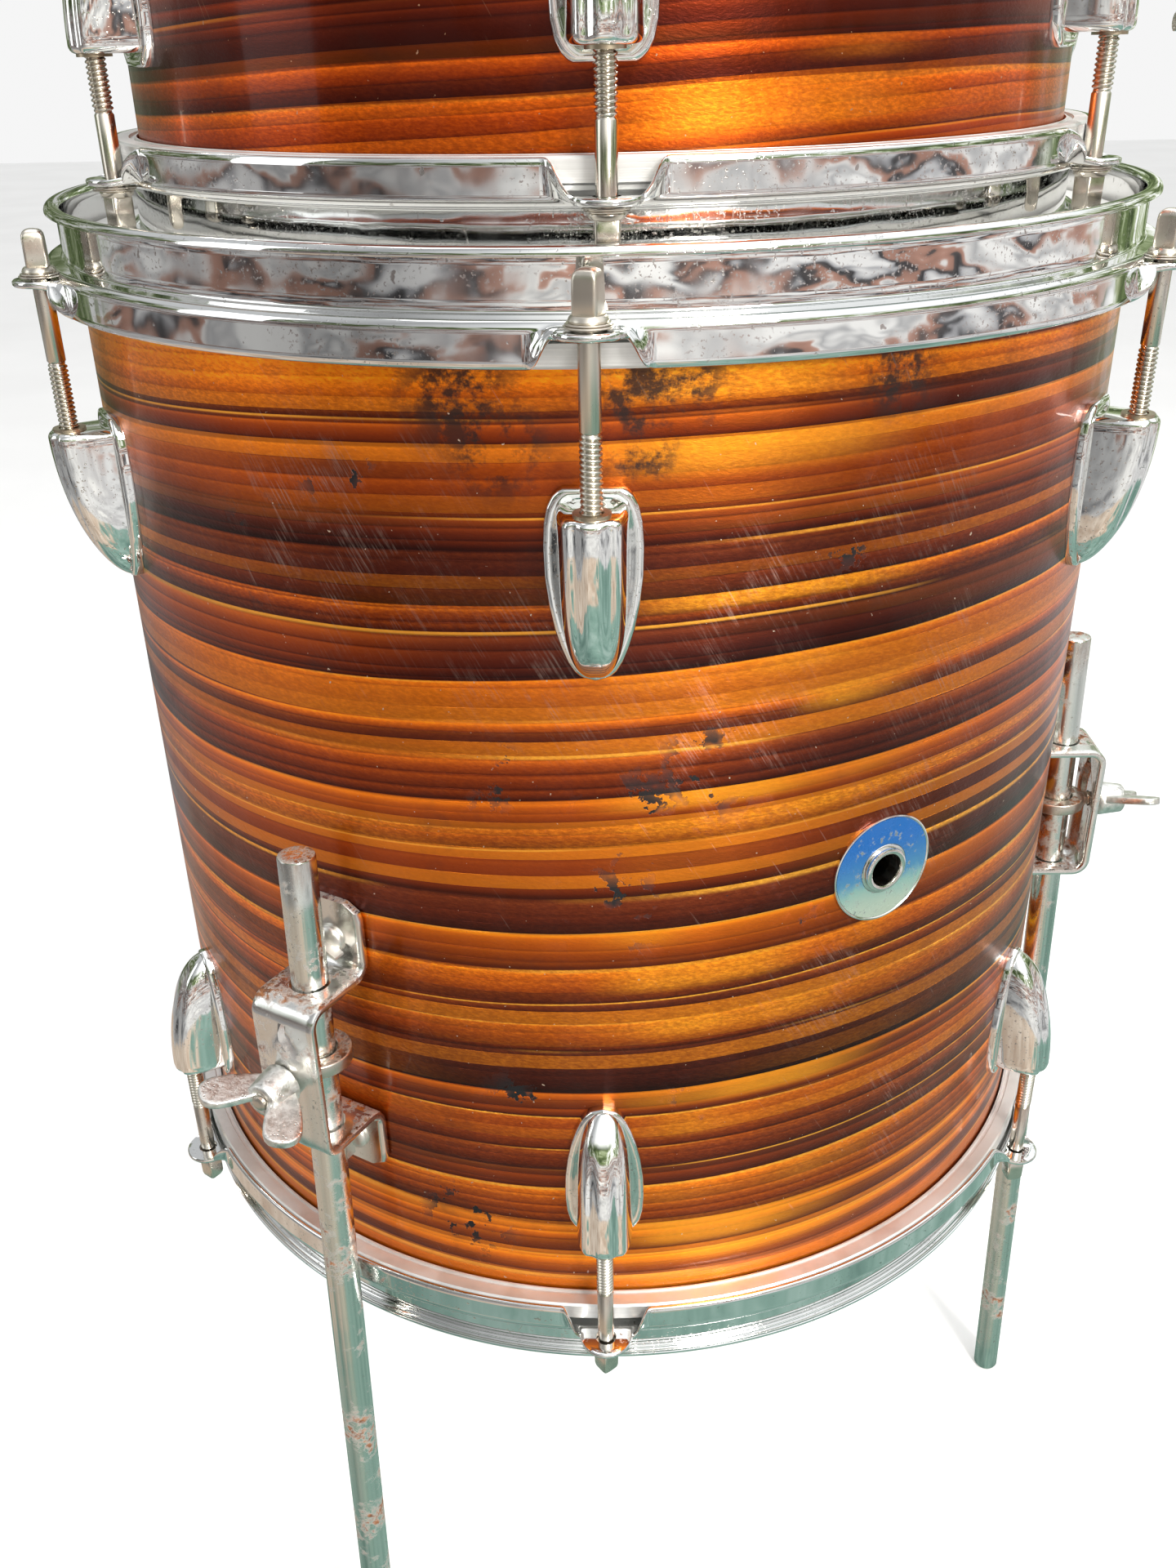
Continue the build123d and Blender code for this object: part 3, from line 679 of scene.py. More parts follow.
def strap_half_width(z, low, high):
    """Half the strap's width: its ends are rounded."""
    end = min(high - z, z - low)
    round_r = 5.5 * MM
    if end >= round_r:
        return STRAP_HALF
    return STRAP_HALF - round_r + math.sqrt(max(0.0, round_r ** 2 - (round_r - end) ** 2))


def crease(t, z, top, bottom):
    """The V-shaped swage down the front plate, which starts in a point under the upper bend."""
    spread = 8.5 * MM * (1 - smooth_step(top - 22 * MM, top - 5 * MM, z))
    if spread < 0.3 * MM:
        return 0.0
    return 2.0 * MM * smooth_step(1.0, 0.35, abs(t) / spread) * smooth_step(bottom, bottom + 8 * MM, z)


def build_bracket(leg, material):
    path = strap_path()
    low, high = path[-1][1], path[0][1]
    top, bottom = high - STRAP_FLANGE, low + STRAP_FLANGE
    last = len(path) - 1
    rings = []
    for i, (o, z) in enumerate(path):
        ax, az = path[max(i - 1, 0)]
        bx, bz = path[min(i + 1, last)]
        long = math.hypot(bx - ax, bz - az)
        normal_o, normal_z = -(bz - az) / long, (bx - ax) / long
        half = strap_half_width(z, low, high) if i < 9 or i > last - 9 else STRAP_HALF
        front, back = [], []
        for u in ACROSS:
            t = u * half
            into_edge = max(0.0, (abs(t) - half + STRAP_EDGE) / STRAP_EDGE)
            thick = STRAP / 2 * math.sqrt(max(0.0, 1 - into_edge ** 2 * 0.9))
            swage = crease(t, z, top, bottom) if o > STRAP_FACE - STRAP else 0.0
            front.append((t, o + normal_o * thick + swage, z + normal_z * thick))
            back.append((t, o - normal_o * thick + swage, z - normal_z * thick))
        rings.append(front + back[::-1])
    strap = moved(loft(rings), face_frame(leg.angle))
    name = f"leg_bracket_{leg.name}"
    piece = make(name, [strap], "floor_tom", material, ("leg_brackets",))
    leg_hole = rod_part(mm((6.7, -60), (6.7, 60)), 40)
    bolt_hole = rod_part(mm((3.4, 0), (3.4, 20)), 24)
    screw_hole = rod_part(mm((2.7, 0), (2.7, 10)), 20)
    cutters = [moved(leg_hole, axis_frame(leg.point(leg.bolt_z), leg.up, (0, 1, 0))),
               moved(bolt_hole, leg.outward(STRAP_FACE - 10 * MM, leg.bolt_z))]
    for z in bracket_screw_heights():
        cutters.append(moved(screw_hole, leg.outward(FLOOR_TOM.radius - 2 * MM, z)))
    drill(piece, cutters)


def bracket_screw_heights():
    """The heights of a bracket's two screws."""
    low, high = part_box("leg_brackets")
    return [high.z - 0.58 * STRAP_FLANGE, low.z + 0.42 * STRAP_FLANGE]


def slotted_head(radius, tall):
    """A round head for a slotted screw, along +Z; its slot is cut afterwards."""
    outline = [(radius * 0.96, 0), (radius, 0.25 * tall)]
    for i in range(1, 7):
        a = math.pi / 2 * i / 6
        outline.append((radius * math.cos(a) + 0.02 * MM, tall * (0.25 + 0.75 * math.sin(a))))
    return rod_part(outline, 32)


def build_bracket_screws(leg, material):
    """The two screws that hold a bracket, with slots left at different angles."""
    pick = random.Random(leg.name)
    for i, z in enumerate(bracket_screw_heights()):
        turned = Matrix.Rotation(pick.uniform(0.2, 2.8), 4, "Z")
        place = leg.outward(FLOOR_TOM.radius + STRAP - 0.05 * MM, z) @ turned
        head = moved(slotted_head(5.2 * MM, 3.0 * MM), place)
        shank = moved(rod_part(mm((2.4, 0.5), (2.4, -9)), 20), place)
        name = f"bracket_screw_{leg.name}_{i + 1}"
        piece = make(name, [head, shank], "floor_tom", material, ("floor_tom_screws",))
        slot = loft([[(x, y, z_slot) for x, y in superellipse(7 * MM, 0.6 * MM, 8, 12)]
                     for z_slot in (1.9 * MM, 6 * MM)])
        drill(piece, [moved(slot, place)])


def eye_ring():
    """The forged ring round a leg, along Z: its section is a rounded square."""
    middle = LEG_R + 2.9 * MM
    return lathe([(middle + o, h) for o, h in superellipse(2.55 * MM, 2.5 * MM, 20, 2 / 0.3)], 56)


def build_eye_bolt(leg, material):
    centre = leg.point(leg.bolt_z)
    ring = moved(eye_ring(), axis_frame(centre, leg.up, (0, 1, 0)))
    start = centre.dot(leg.out) + LEG_R + EYE_WALL
    long = BOLT_END - start
    shank = rod_part(mm((3.0, -0.8), (3.0, 2.5)), 24)
    tip = rod_part([(r, long - z) for r, z in mm((2.6, 1.2), (2.5, 0.5), (1.9, 0.1), (1.0, 0))], 24)
    place = leg.outward(start, leg.bolt_z)
    parts = [ring, moved(shank, place), moved(thread(long - 1 * MM, 1.5 * MM), place), moved(tip, place)]
    make(f"eye_bolt_{leg.name}", parts, "floor_tom", material, ("eye_bolts",))


# A wing's sections in mm: to the side, along the bolt, half its width and half its thickness
WING_SPINE = ((3.0, 4.8, 4.4, 1.7), (5.2, 6.6, 4.8, 1.7), (7.6, 9.0, 5.3, 1.6), (9.8, 11.6, 5.8, 1.6),
              (11.8, 14.2, 6.1, 1.55), (13.8, 16.7, 6.1, 1.5), (15.3, 18.6, 5.4, 1.5),
              (16.2, 19.8, 4.2, 1.45), (16.7, 20.4, 2.8, 1.4), (16.9, 20.7, 1.5, 1.2))


def wing(side):
    """One cast wing: a thick leaf that flares outward, with X to the side and Z along the bolt."""
    rings = []
    for i, (t, z, half_wide, half_thick) in enumerate(WING_SPINE):
        t_0, z_0 = WING_SPINE[max(i - 1, 0)][:2]
        t_1, z_1 = WING_SPINE[min(i + 1, len(WING_SPINE) - 1)][:2]
        long = math.hypot(t_1 - t_0, z_1 - z_0)
        normal_t, normal_z = -(z_1 - z_0) / long, (t_1 - t_0) / long
        ring = []
        for a, b in superellipse(half_wide * MM, half_thick * MM, 28, 7.0):
            ring.append((side * (t * MM + normal_t * a), b, z * MM + normal_z * a))
        rings.append(ring)
    return loft(rings)


def hub(bore):
    """A wing nut's tapered cast hub along Z, with a bore of that radius in mm."""
    foot, end, long = 7.2, 6.0, 11.0
    return lathe(mm((bore, 0.2), (bore + 0.4, 0), (foot - 0.6, 0), (foot, 0.6), (foot - 0.1, 2.0),
                    (end + 0.3, long * 0.75), (end, long - 0.6), (end - 0.6, long), (bore + 0.5, long),
                    (bore, long - 0.4)), 40)


def build_wing_nut(leg, turn, material):
    place = leg.outward(NUT_SEAT, leg.bolt_z) @ Matrix.Rotation(turn, 4, "Z")
    parts = [moved(part, place) for part in (hub(3.15), wing(-1), wing(1))]
    name = f"wing_nut_{leg.name}"
    make(name + "_cast", parts, name, material, (name,), sharp=60)


# ---------------------------------------------------------------------------- badge, grommets, tom holder
BADGE_LIFT = 1.0            # mm: the badge's raised middle, which the grommet sits on
HOLDER_BORE_R = 5.25        # mm


def vent_frame(drum):
    low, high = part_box(VENTS[drum.name])
    centre = (low + high) / 2
    return face_frame(math.atan2(centre.x, -centre.y), drum.radius, centre.z)


def curved(part, drum):
    """Bend a part made on a flat (t, o, z) plane onto the drum's face."""
    verts, faces = part
    bent = []
    for v in verts:
        angle = v.x / drum.radius
        r = drum.radius + v.y
        bent.append(Vector((r * math.sin(angle), r * math.cos(angle) - drum.radius, v.z)))
    return bent, faces


def facing_out(part):
    """Turn a part made along +Z to face outward: (x, y, z) to (t, z, o)."""
    verts, faces = part
    return [Vector((v.x, v.z, v.y)) for v in verts], faces


def build_grommet(drum, lift, material):
    """A vent's tube and rolled flange, whose seat is lift mm off the covering."""
    tube = lathe(mm((5.5, -9), (6.3, -9), (6.3, lift), (7.5, lift), (7.65, lift + 0.5), (7.4, lift + 1.2),
                    (6.9, lift + 1.5), (6.2, lift + 1.45), (5.7, lift + 1.1), (5.5, lift + 0.4)), 56)
    part = moved(facing_out(tube), vent_frame(drum))
    node = VENTS[drum.name]
    make(f"{drum.name}_vent_ring", [part], drum.body, material, (node,))


def build_badge(rim, enamel):
    """A round badge: a bright rim and centre ring, with an enamelled band between."""
    drum = FLOOR_TOM
    place = vent_frame(drum)
    plate = mm((6.4, 0.02), (18.5, 0.02), (18.65, 0.5), (18.5, 0.9), (18.1, 1.0), (17.8, 0.8), (17.7, 0.6),
               (8.6, 0.6), (8.4, 0.95), (8.0, BADGE_LIFT), (6.4, BADGE_LIFT))
    band = mm((8.65, 0.55), (17.65, 0.55), (17.6, 0.78), (8.7, 0.78))
    for name, outline, material in (("badge_rim", plate, rim), ("badge_enamel", band, enamel)):
        part = moved(curved(facing_out(lathe(outline, 96)), drum), place)
        make(name, [part], "floor_tom", material, ("floor_tom_badge_and_vent",))


def build_holder(material, bolt_material):
    """The tom holder's bracket on the right of the small tom, and its wing bolt."""
    drum = SMALL_TOM
    mount = next(m for m in frame["record"]["mounts"] if m["name"] == "tom_holder_bore")
    centre = Vector(mount["pos_m"])
    reach = math.hypot(centre.x, centre.y) - drum.radius
    place = face_frame(math.atan2(centre.x, -centre.y), drum.radius, centre.z)
    low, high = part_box("tom_holder_bracket")
    foot, head = low.z - centre.z + 0.1 * MM, high.z - centre.z - 0.1 * MM
    base = holder_base(drum, foot, head)
    arm = holder_arm(reach)
    boss = lathe(mm((HOLDER_BORE_R, -4.9), (9.9, -4.9), (10.5, -4.2), (10.5, 4.2), (9.9, 4.9),
                    (HOLDER_BORE_R, 4.9)), 56)
    boss = moved(boss, Matrix.Translation((0, reach, 0)))
    neck = lathe(mm((3.1, 9.4), (4.8, 9.4), (4.8, 14.2), (4.3, 14.9), (3.1, 14.9)), 36)
    neck = moved(facing_out(neck), Matrix.Translation((0, reach, 0)))
    parts = [moved(part, place) for part in (base, arm, boss, neck)]
    piece = make("tom_holder_casting", parts, drum.body, material, ("tom_holder_bracket",),
                 sharp=50)
    bore = rod_part(mm((HOLDER_BORE_R, -30), (HOLDER_BORE_R, 30)), 40)
    drill(piece, [moved(bore, place @ Matrix.Translation((0, reach, 0)))], sharp=50)
    seat = reach + 18 * MM
    shank = rod_part([(2.9 * MM, reach + (HOLDER_BORE_R + 0.6) * MM), (2.9 * MM, seat + 3 * MM)], 24)
    screw = thread(seat + 1 * MM, reach + 8.5 * MM)
    nut = Matrix.Translation((0, 0, seat))
    bolt = [shank, screw] + [moved(part, nut) for part in (hub(1.5), wing(-1), wing(1))]
    name = "tom_holder_wing_bolt"
    bolt = [moved(facing_out(part), place) for part in bolt]
    make(name + "_cast", bolt, name, bolt_material, (name,), sharp=60)


def holder_base(drum, foot, head):
    """A rounded plate that follows the shell, with a softened rim."""
    half_t, half_z = 19 * MM, (head - foot) / 2
    middle = (head + foot) / 2
    rings = []
    for inset, o in ((0, 0.05), (0, 2.6), (0.5, 3.5), (1.6, 4.0), (6.0, 4.05), (14.0, 4.05)):
        loop = superellipse(half_t - inset * MM, half_z - inset * MM, 64, 4.5)
        rings.append([(t, o * MM - curve_drop(drum, t), middle + z) for t, z in loop])
    return loft(rings)


def holder_arm(reach):
    """The cast arm, deep at the shell and shallow at the boss."""
    spine = [(2.0, 8.0, 15.0, 11.5), (7.0, 5.0, 12.0, 10.6), (12.0, 2.6, 9.4, 10.0), (18.0, 1.0, 7.0, 9.6),
             (24.0, 0.3, 5.5, 9.4), (reach / MM, 0.0, 4.9, 9.2)]
    rings = []
    for o, z, half_tall, half_wide in spine:
        loop = superellipse(half_wide * MM, half_tall * MM, 40, 3.4)
        rings.append([(t, o * MM, z * MM + up) for t, up in loop])
    return loft(rings)


# ---------------------------------------------------------------------------- materials


class Nodes:
    """A node tree under construction: short calls that add nodes and return their output sockets."""

    def __init__(self, tree):
        self.tree = tree

    def feed(self, target, value):
        if isinstance(value, bpy.types.NodeSocket):
            self.tree.links.new(value, target)
        elif isinstance(value, (tuple, list)) and len(value) == 3 and target.type == "RGBA":
            target.default_value = (*value, 1.0)
        else:
            target.default_value = value

    def node(self, kind, **settings):
        made = self.tree.nodes.new(kind)
        for key, value in settings.items():
            setattr(made, key, value)
        return made

    def place(self):
        """The point in the CAD frame: every piece's own origin is the frame's."""
        return self.node("ShaderNodeTexCoord").outputs["Object"]

    def round_and_up(self):
        """Metres round the drum and up it, from the covering's UV."""
        return self.node("ShaderNodeTexCoord").outputs["UV"]

    def stretch(self, vector, scale, shift=(0, 0, 0)):
        mapping = self.node("ShaderNodeMapping")
        self.feed(mapping.inputs["Vector"], vector)
        mapping.inputs["Scale"].default_value = scale
        mapping.inputs["Location"].default_value = shift
        return mapping.outputs["Vector"]

    def noise(self, vector, scale, detail=2.0, rough=0.5, distort=0.0):
        noise = self.node("ShaderNodeTexNoise")
        self.feed(noise.inputs["Vector"], vector)
        noise.inputs["Scale"].default_value = scale
        noise.inputs["Detail"].default_value = detail
        noise.inputs["Roughness"].default_value = rough
        noise.inputs["Distortion"].default_value = distort
        return noise.outputs["Fac"]

    def cells(self, vector, scale):
        cells = self.node("ShaderNodeTexVoronoi")
        self.feed(cells.inputs["Vector"], vector)
        cells.inputs["Scale"].default_value = scale
        return cells.outputs["Distance"]

    def chance(self, number):
        """A random share for each whole number."""
        white = self.node("ShaderNodeTexWhiteNoise", noise_dimensions="1D")
        self.feed(white.inputs["W"], number)
        return white.outputs["Value"]

    def math(self, operation, a, b=0.0):
        node = self.node("ShaderNodeMath", operation=operation)
        self.feed(node.inputs[0], a)
        self.feed(node.inputs[1], b)
        return node.outputs["Value"]

    def times(self, a, b):
        return self.math("MULTIPLY", a, b)

    def plus(self, a, b):
        return self.math("ADD", a, b)

    def minus(self, a, b):
        return self.math("SUBTRACT", a, b)

    def most(self, a, b):
        return self.math("MAXIMUM", a, b)

    def length(self, x, y):
        return self.math("SQRT", self.plus(self.times(x, x), self.times(y, y)))

    def step(self, value, low, high, to_low=0.0, to_high=1.0):
        """A smooth step of value from low to high."""
        node = self.node("ShaderNodeMapRange", interpolation_type="SMOOTHSTEP")
        self.feed(node.inputs["Value"], value)
        for key, number in (("From Min", low), ("From Max", high), ("To Min", to_low), ("To Max", to_high)):
            node.inputs[key].default_value = number
        return node.outputs["Result"]

    def ramp(self, value, stops):
        node = self.node("ShaderNodeValToRGB")
        self.feed(node.inputs["Fac"], value)
        elements = node.color_ramp.elements
        while len(elements) < len(stops):
            elements.new(0.5)
        for element, (position, colour) in zip(elements, stops):
            element.position = position
            element.color = (*colour, 1.0)
        return node.outputs["Color"]

    def mix(self, share, a, b, blend="MIX"):
        node = self.node("ShaderNodeMix", data_type="RGBA", blend_type=blend)
        self.feed(node.inputs[0], share)
        self.feed(node.inputs[6], a)
        self.feed(node.inputs[7], b)
        return node.outputs[2]

    def tint(self, a, b):
        """Two colours multiplied."""
        return self.mix(1.0, a, b, "MULTIPLY")

    def between(self, share, a, b):
        node = self.node("ShaderNodeMix", data_type="FLOAT")
        self.feed(node.inputs[0], share)
        self.feed(node.inputs[2], a)
        self.feed(node.inputs[3], b)
        return node.outputs[0]

    def join(self, x, y, z=0.0):
        node = self.node("ShaderNodeCombineXYZ")
        for i, value in enumerate((x, y, z)):
            self.feed(node.inputs[i], value)
        return node.outputs["Vector"]

    def split(self, vector):
        node = self.node("ShaderNodeSeparateXYZ")
        self.feed(node.inputs["Vector"], vector)
        return node.outputs[0], node.outputs[1], node.outputs[2]

    def bump(self, height, distance, strength=1.0, normal=None):
        node = self.node("ShaderNodeBump")
        node.inputs["Strength"].default_value = strength
        node.inputs["Distance"].default_value = distance
        self.feed(node.inputs["Height"], height)
        if normal is not None:
            self.feed(node.inputs["Normal"], normal)
        return node.outputs["Normal"]


class Surface(Nodes):
    """A material, whose shader's sockets are set by name."""

    def __init__(self, name):
        self.material = bpy.data.materials.new(name)
        self.material.use_nodes = True
        super().__init__(self.material.node_tree)
        self.shader = self.tree.nodes["Principled BSDF"]

    def put(self, socket, value):
        self.feed(self.shader.inputs[socket], value)


def plated(name, colour, rough, pits=0.5, rust=0.3, haze=0.12, seed=0.0, standing=0.0):
    """Bright plating over steel or zinc: haze, fine pits, and rust where the plating has gone."""
    s = Surface(name)
    at = s.stretch(s.place(), (1, 1, 1), (seed, seed * 0.7, seed * 1.3))
    worn = s.step(s.noise(at, 22, 3, 0.6), 0.62 - 0.22 * pits, 0.80 - 0.16 * pits)
    fine = s.noise(at, 900, 3, 0.65)
    pit = s.times(s.step(fine, 0.60, 0.68), worn)
    speck = s.step(s.noise(at, 260, 2, 0.6), 0.70, 0.75)
    pit = s.most(pit, s.times(speck, 0.7 * pits))
    _, _, up = s.split(s.node("ShaderNodeNewGeometry").outputs["Normal"])
    stood = s.step(up, 0.55, 0.90, 0.0, standing)
    rusty = s.step(s.plus(s.noise(at, 38, 4, 0.7), stood), 0.70 - 0.14 * rust, 0.80 - 0.12 * rust)
    grain = s.step(s.noise(at, 300, 4, 0.7), 0.40, 0.62)
    red = s.times(rusty, grain)
    smear = s.noise(s.stretch(at, (1, 1, 0.35)), 45, 4, 0.6)
    clean_colour = s.mix(s.step(smear, 0.35, 0.75), tuple(0.93 * c for c in colour), colour)
    dull = s.mix(s.times(pit, 0.75), clean_colour, (0.20, 0.16, 0.13))
    brown = s.ramp(s.noise(at, 420, 3, 0.6), [(0.3, (0.08, 0.03, 0.012)), (0.55, (0.22, 0.085, 0.03)),
                                             (0.8, (0.36, 0.17, 0.07))])
    s.put("Base Color", s.mix(red, dull, brown))
    s.put("Metallic", s.between(red, 1.0, 0.15))
    level = s.step(smear, 0.30, 0.78, rough, rough + haze)
    level = s.plus(level, s.times(pit, 0.35))
    s.put("Roughness", s.between(red, level, 0.85))
    relief = s.minus(s.times(red, s.noise(at, 700, 3, 0.7)), s.times(pit, 0.25))
    ripple = s.noise(at, 32, 2, 0.5)
    soft = s.bump(ripple, 0.0004, 0.5)
    s.put("Normal", s.bump(relief, 0.0001, 0.7, soft))
    return s.material


def cast_metal(name):
    """Rough cast zinc under dull plating: a pitted skin with darker hollows."""
    s = Surface(name)
    at = s.place()
    lumps = s.noise(at, 420, 4, 0.62)
    holes = s.step(s.cells(at, 700), 0.30, 0.12)
    holes = s.times(holes, s.step(s.noise(at, 120, 2), 0.42, 0.62))
    tone = s.ramp(lumps, [(0.25, (0.52, 0.51, 0.48)), (0.5, (0.76, 0.75, 0.72)), (0.75, (0.88, 0.88, 0.86))])
    s.put("Base Color", s.mix(s.times(holes, 0.35), tone, (0.25, 0.21, 0.17)))
    s.put("Metallic", 1.0)
    s.put("Roughness", s.step(lumps, 0.3, 0.75, 0.32, 0.52))
    height = s.minus(lumps, s.times(holes, 0.6))
    s.put("Normal", s.bump(height, 0.0005, 0.6))
    return s.material


def satin_aluminium(name):
    """A rolled flesh hoop: pale, satin, with fine lines round it and grey oxide bloom."""
    s = Surface(name)
    at = s.place()
    lines = s.noise(s.stretch(at, (6, 6, 2400)), 1.0, 3, 0.6)
    bloom = s.step(s.noise(at, 60, 4, 0.65), 0.45, 0.72)
    tone = s.ramp(lines, [(0.3, (0.66, 0.66, 0.65)), (0.7, (0.82, 0.82, 0.81))])
    s.put("Base Color", s.mix(s.times(bloom, 0.4), tone, (0.52, 0.52, 0.50)))
    s.put("Metallic", 0.75)
    s.put("Roughness", s.step(s.noise(at, 90, 3), 0.3, 0.7, 0.38, 0.56))
    s.put("Normal", s.bump(lines, 0.00008, 0.6))
    return s.material


def coated_film(name):
    """A coated head: off-white, with a sprayed tooth, faint stick marks and a grey edge."""
    s = Surface(name)
    at = s.place()
    x, y, _ = s.split(at)
    radius = s.length(x, y)
    tooth = s.noise(at, 1500, 2, 0.6)
    cloud = s.noise(at, 14, 4, 0.6)
    marks = s.step(s.noise(s.stretch(at, (60, 14, 1)), 1.0, 3, 0.7), 0.62, 0.75)
    played = s.times(marks, s.step(radius, 0.13, 0.02))
    tone = s.ramp(cloud, [(0.3, (0.72, 0.72, 0.69)), (0.7, (0.84, 0.84, 0.82))])
    tone = s.mix(s.times(played, 0.35), tone, (0.50, 0.49, 0.46))
    s.put("Base Color", s.mix(s.step(radius, 0.135, 0.19, 0.0, 0.35), tone, (0.56, 0.56, 0.54)))
    s.put("Roughness", s.step(tooth, 0.3, 0.7, 0.48, 0.68))
    s.put("Subsurface Weight", 0.15)
    s.put("Subsurface Radius", (0.002, 0.002, 0.002))
    s.put("Normal", s.bump(tooth, 0.0001, 0.6))
    return s.material


# Where the covering is marked: degrees from the front, height, and radius of each worn place
CHIPPED = ((-24, 0.548, 0.022), (-19, 0.540, 0.014), (-33, 0.520, 0.026), (26, 0.547, 0.018),
           (22, 0.526, 0.014), (-11, 0.460, 0.020), (3, 0.445, 0.028), (0, 0.415, 0.026),
           (10, 0.462, 0.026), (18, 0.408, 0.022), (8, 0.336, 0.016), (-9, 0.338, 0.022),
           (-17, 0.283, 0.028))
SMOKY = ((-12, 0.569, 0.024), (-9, 0.556, 0.020), (3, 0.569, 0.022), (6, 0.573, 0.022), (3, 0.555, 0.016),
         (26, 0.570, 0.018))
SCUFFED = ((-24, 0.530, 0.050), (11, 0.475, 0.040), (37, 0.474, 0.040), (-6, 0.490, 0.035),
           (33, 0.430, 0.040), (22, 0.378, 0.030), (36, 0.310, 0.040), (14, 0.515, 0.025),
           (30, 0.530, 0.030))


def near_places(s, u, v, places, radius):
    """1 near any of the listed places and 0 away from them."""
    most = None
    for degrees, height, reach in places:
        du = s.minus(u, math.radians(degrees) * radius)
        dv = s.minus(v, height)
        near = s.step(s.length(du, dv), reach, reach * 0.25)
        most = near if most is None else s.most(most, near)
    return most


def pearl_covering(name, drum, seed, tone, marked):
    """Copper satin-stripe plastic: ribbon-like folds in relief with painted shading, painted glints and a painted
    highlight at the front right, under a clear gloss, scuffed and chipped.
    """
    s = Surface(name)
    u, v, _ = s.split(s.round_and_up())
    slope = s.noise(s.join(s.times(u, 1.7), s.times(v, 2.2), seed), 1.0, 1, 0.4)
    waver = s.noise(s.join(s.times(u, 9.0), s.times(v, 14.0), seed + 5), 1.0, 1, 0.5)
    level = s.plus(v, s.times(slope, 0.055))
    level = s.plus(level, s.times(waver, 0.0030))

    def ribbons(per_metre, unevenness, shift):
        """Uneven bands up the drum: each one's number, and the share of the way up it."""
        at = s.join(s.times(u, 0.9), s.times(level, per_metre * 0.55), seed + shift)
        uneven = s.noise(at, 1.0, 1, 0.5)
        phase = s.plus(s.times(level, per_metre), s.times(uneven, unevenness))
        return s.math("FLOOR", phase), s.math("FRACT", phase)

    def along_band(number, stretch, shift):
        """A slow change along a band, different in each."""
        return s.noise(s.join(s.times(u, stretch), s.times(number, 7.31), seed + shift), 1.0)

    fold, up_fold = ribbons(84.0, 2.4, 11)
    pleat, up_pleat = ribbons(240.0, 1.9, 23)
    kind = s.plus(s.plus(s.times(s.chance(s.plus(fold, seed)), 0.82), 0.08),
                  s.times(s.minus(along_band(fold, 3.0, 31), 0.5), 0.9))
    fine = s.plus(s.chance(s.plus(pleat, seed + 57)),
                  s.times(s.minus(along_band(pleat, 5.0, 43), 0.5), 0.8))
    body = s.ramp(kind, [
        (0.0, (0.060, 0.007, 0.003)), (0.13, (0.105, 0.013, 0.004)), (0.27, (0.30, 0.042, 0.004)),
        (0.52, (0.46, 0.075, 0.004)), (0.76, (0.64, 0.125, 0.004)), (0.97, (1.0, 0.250, 0.006))])
    # Painted shading and highlight across each fold: a dark foot, brightening to a painted highlight near its
    # crest.
    fold_shading_and_highlight = s.ramp(up_fold, [
        (0.0, (0.18, 0.12, 0.10)), (0.05, (0.26, 0.19, 0.17)), (0.13, (0.50, 0.42, 0.40)),
        (0.45, (0.86, 0.82, 0.80)), (0.72, (1.25, 1.36, 1.20)), (0.88, (1.75, 2.2, 1.7)),
        (0.95, (2.1, 2.9, 2.1)), (1.0, (0.45, 0.36, 0.33))])
    colour = s.tint(body, fold_shading_and_highlight)
    # The same painted shading and highlight across each fine pleat.
    pleat_shading_and_highlight = s.ramp(up_pleat, [
        (0.0, (0.40, 0.33, 0.31)), (0.16, (0.78, 0.74, 0.74)), (0.6, (1.05, 1.06, 1.05)),
        (0.88, (1.45, 1.65, 1.4)), (1.0, (0.60, 0.53, 0.51))])
    pleated = s.step(s.chance(s.plus(fold, seed + 9)), 0.20, 0.70, 0.40, 1.0)
    colour = s.mix(pleated, colour, s.tint(colour, pleat_shading_and_highlight))
    colour = s.mix(s.step(fine, 0.62, 1.0, 0.0, 0.65), colour, (0.80, 0.22, 0.010))
    colour = s.mix(s.step(fine, 0.28, 0.0, 0.0, 0.72), colour, (0.060, 0.009, 0.004))
    # Painted glints: a thin gold highlight line near the crest of some folds, fading in and out along each.
    fold_crest_glint = s.times(s.step(up_fold, 0.90, 0.955), s.step(up_fold, 0.998, 0.985))
    lit = s.step(along_band(fold, 6.0, 51), 0.46, 0.60)
    colour = s.mix(s.times(s.times(fold_crest_glint, lit), 0.85), colour, (1.0, 0.42, 0.045))
    # A painted highlight: a brighter gold patch on the upper parts of the lighter folds, from the front to about
    # 0.1 m round to the right.
    front_right_painted_highlight = s.times(s.step(u, -0.012, 0.022), s.step(u, 0.105, 0.060))
    front_right_painted_highlight = s.times(front_right_painted_highlight, s.step(along_band(fold, 8.0, 61), 0.44, 0.60))
    front_right_painted_highlight = s.times(front_right_painted_highlight, s.times(s.step(up_fold, 0.20, 0.62), s.step(kind, 0.22, 0.42)))
    colour = s.mix(s.times(front_right_painted_highlight, 0.72), colour, (1.0, 0.36, 0.018))
    grain_at = s.join(s.plus(s.times(u, 520.0), s.times(v, 300.0)), s.times(v, 1300.0), seed)
    grain = s.noise(grain_at, 1.0, 3, 0.7)
    grainy = s.step(s.chance(s.plus(fold, seed + 21)), 0.35, 0.85, 0.15, 0.8)
    shimmer = s.ramp(grain, [(0.34, (0.70, 0.63, 0.61)), (0.50, (1.0, 1.0, 1.0)), (0.66, (1.4, 1.6, 1.45))])
    colour = s.mix(grainy, colour, s.tint(colour, shimmer))
    relief = s.plus(up_fold, s.times(up_pleat, 0.35))
    relief = s.plus(relief, s.times(grain, 0.22))

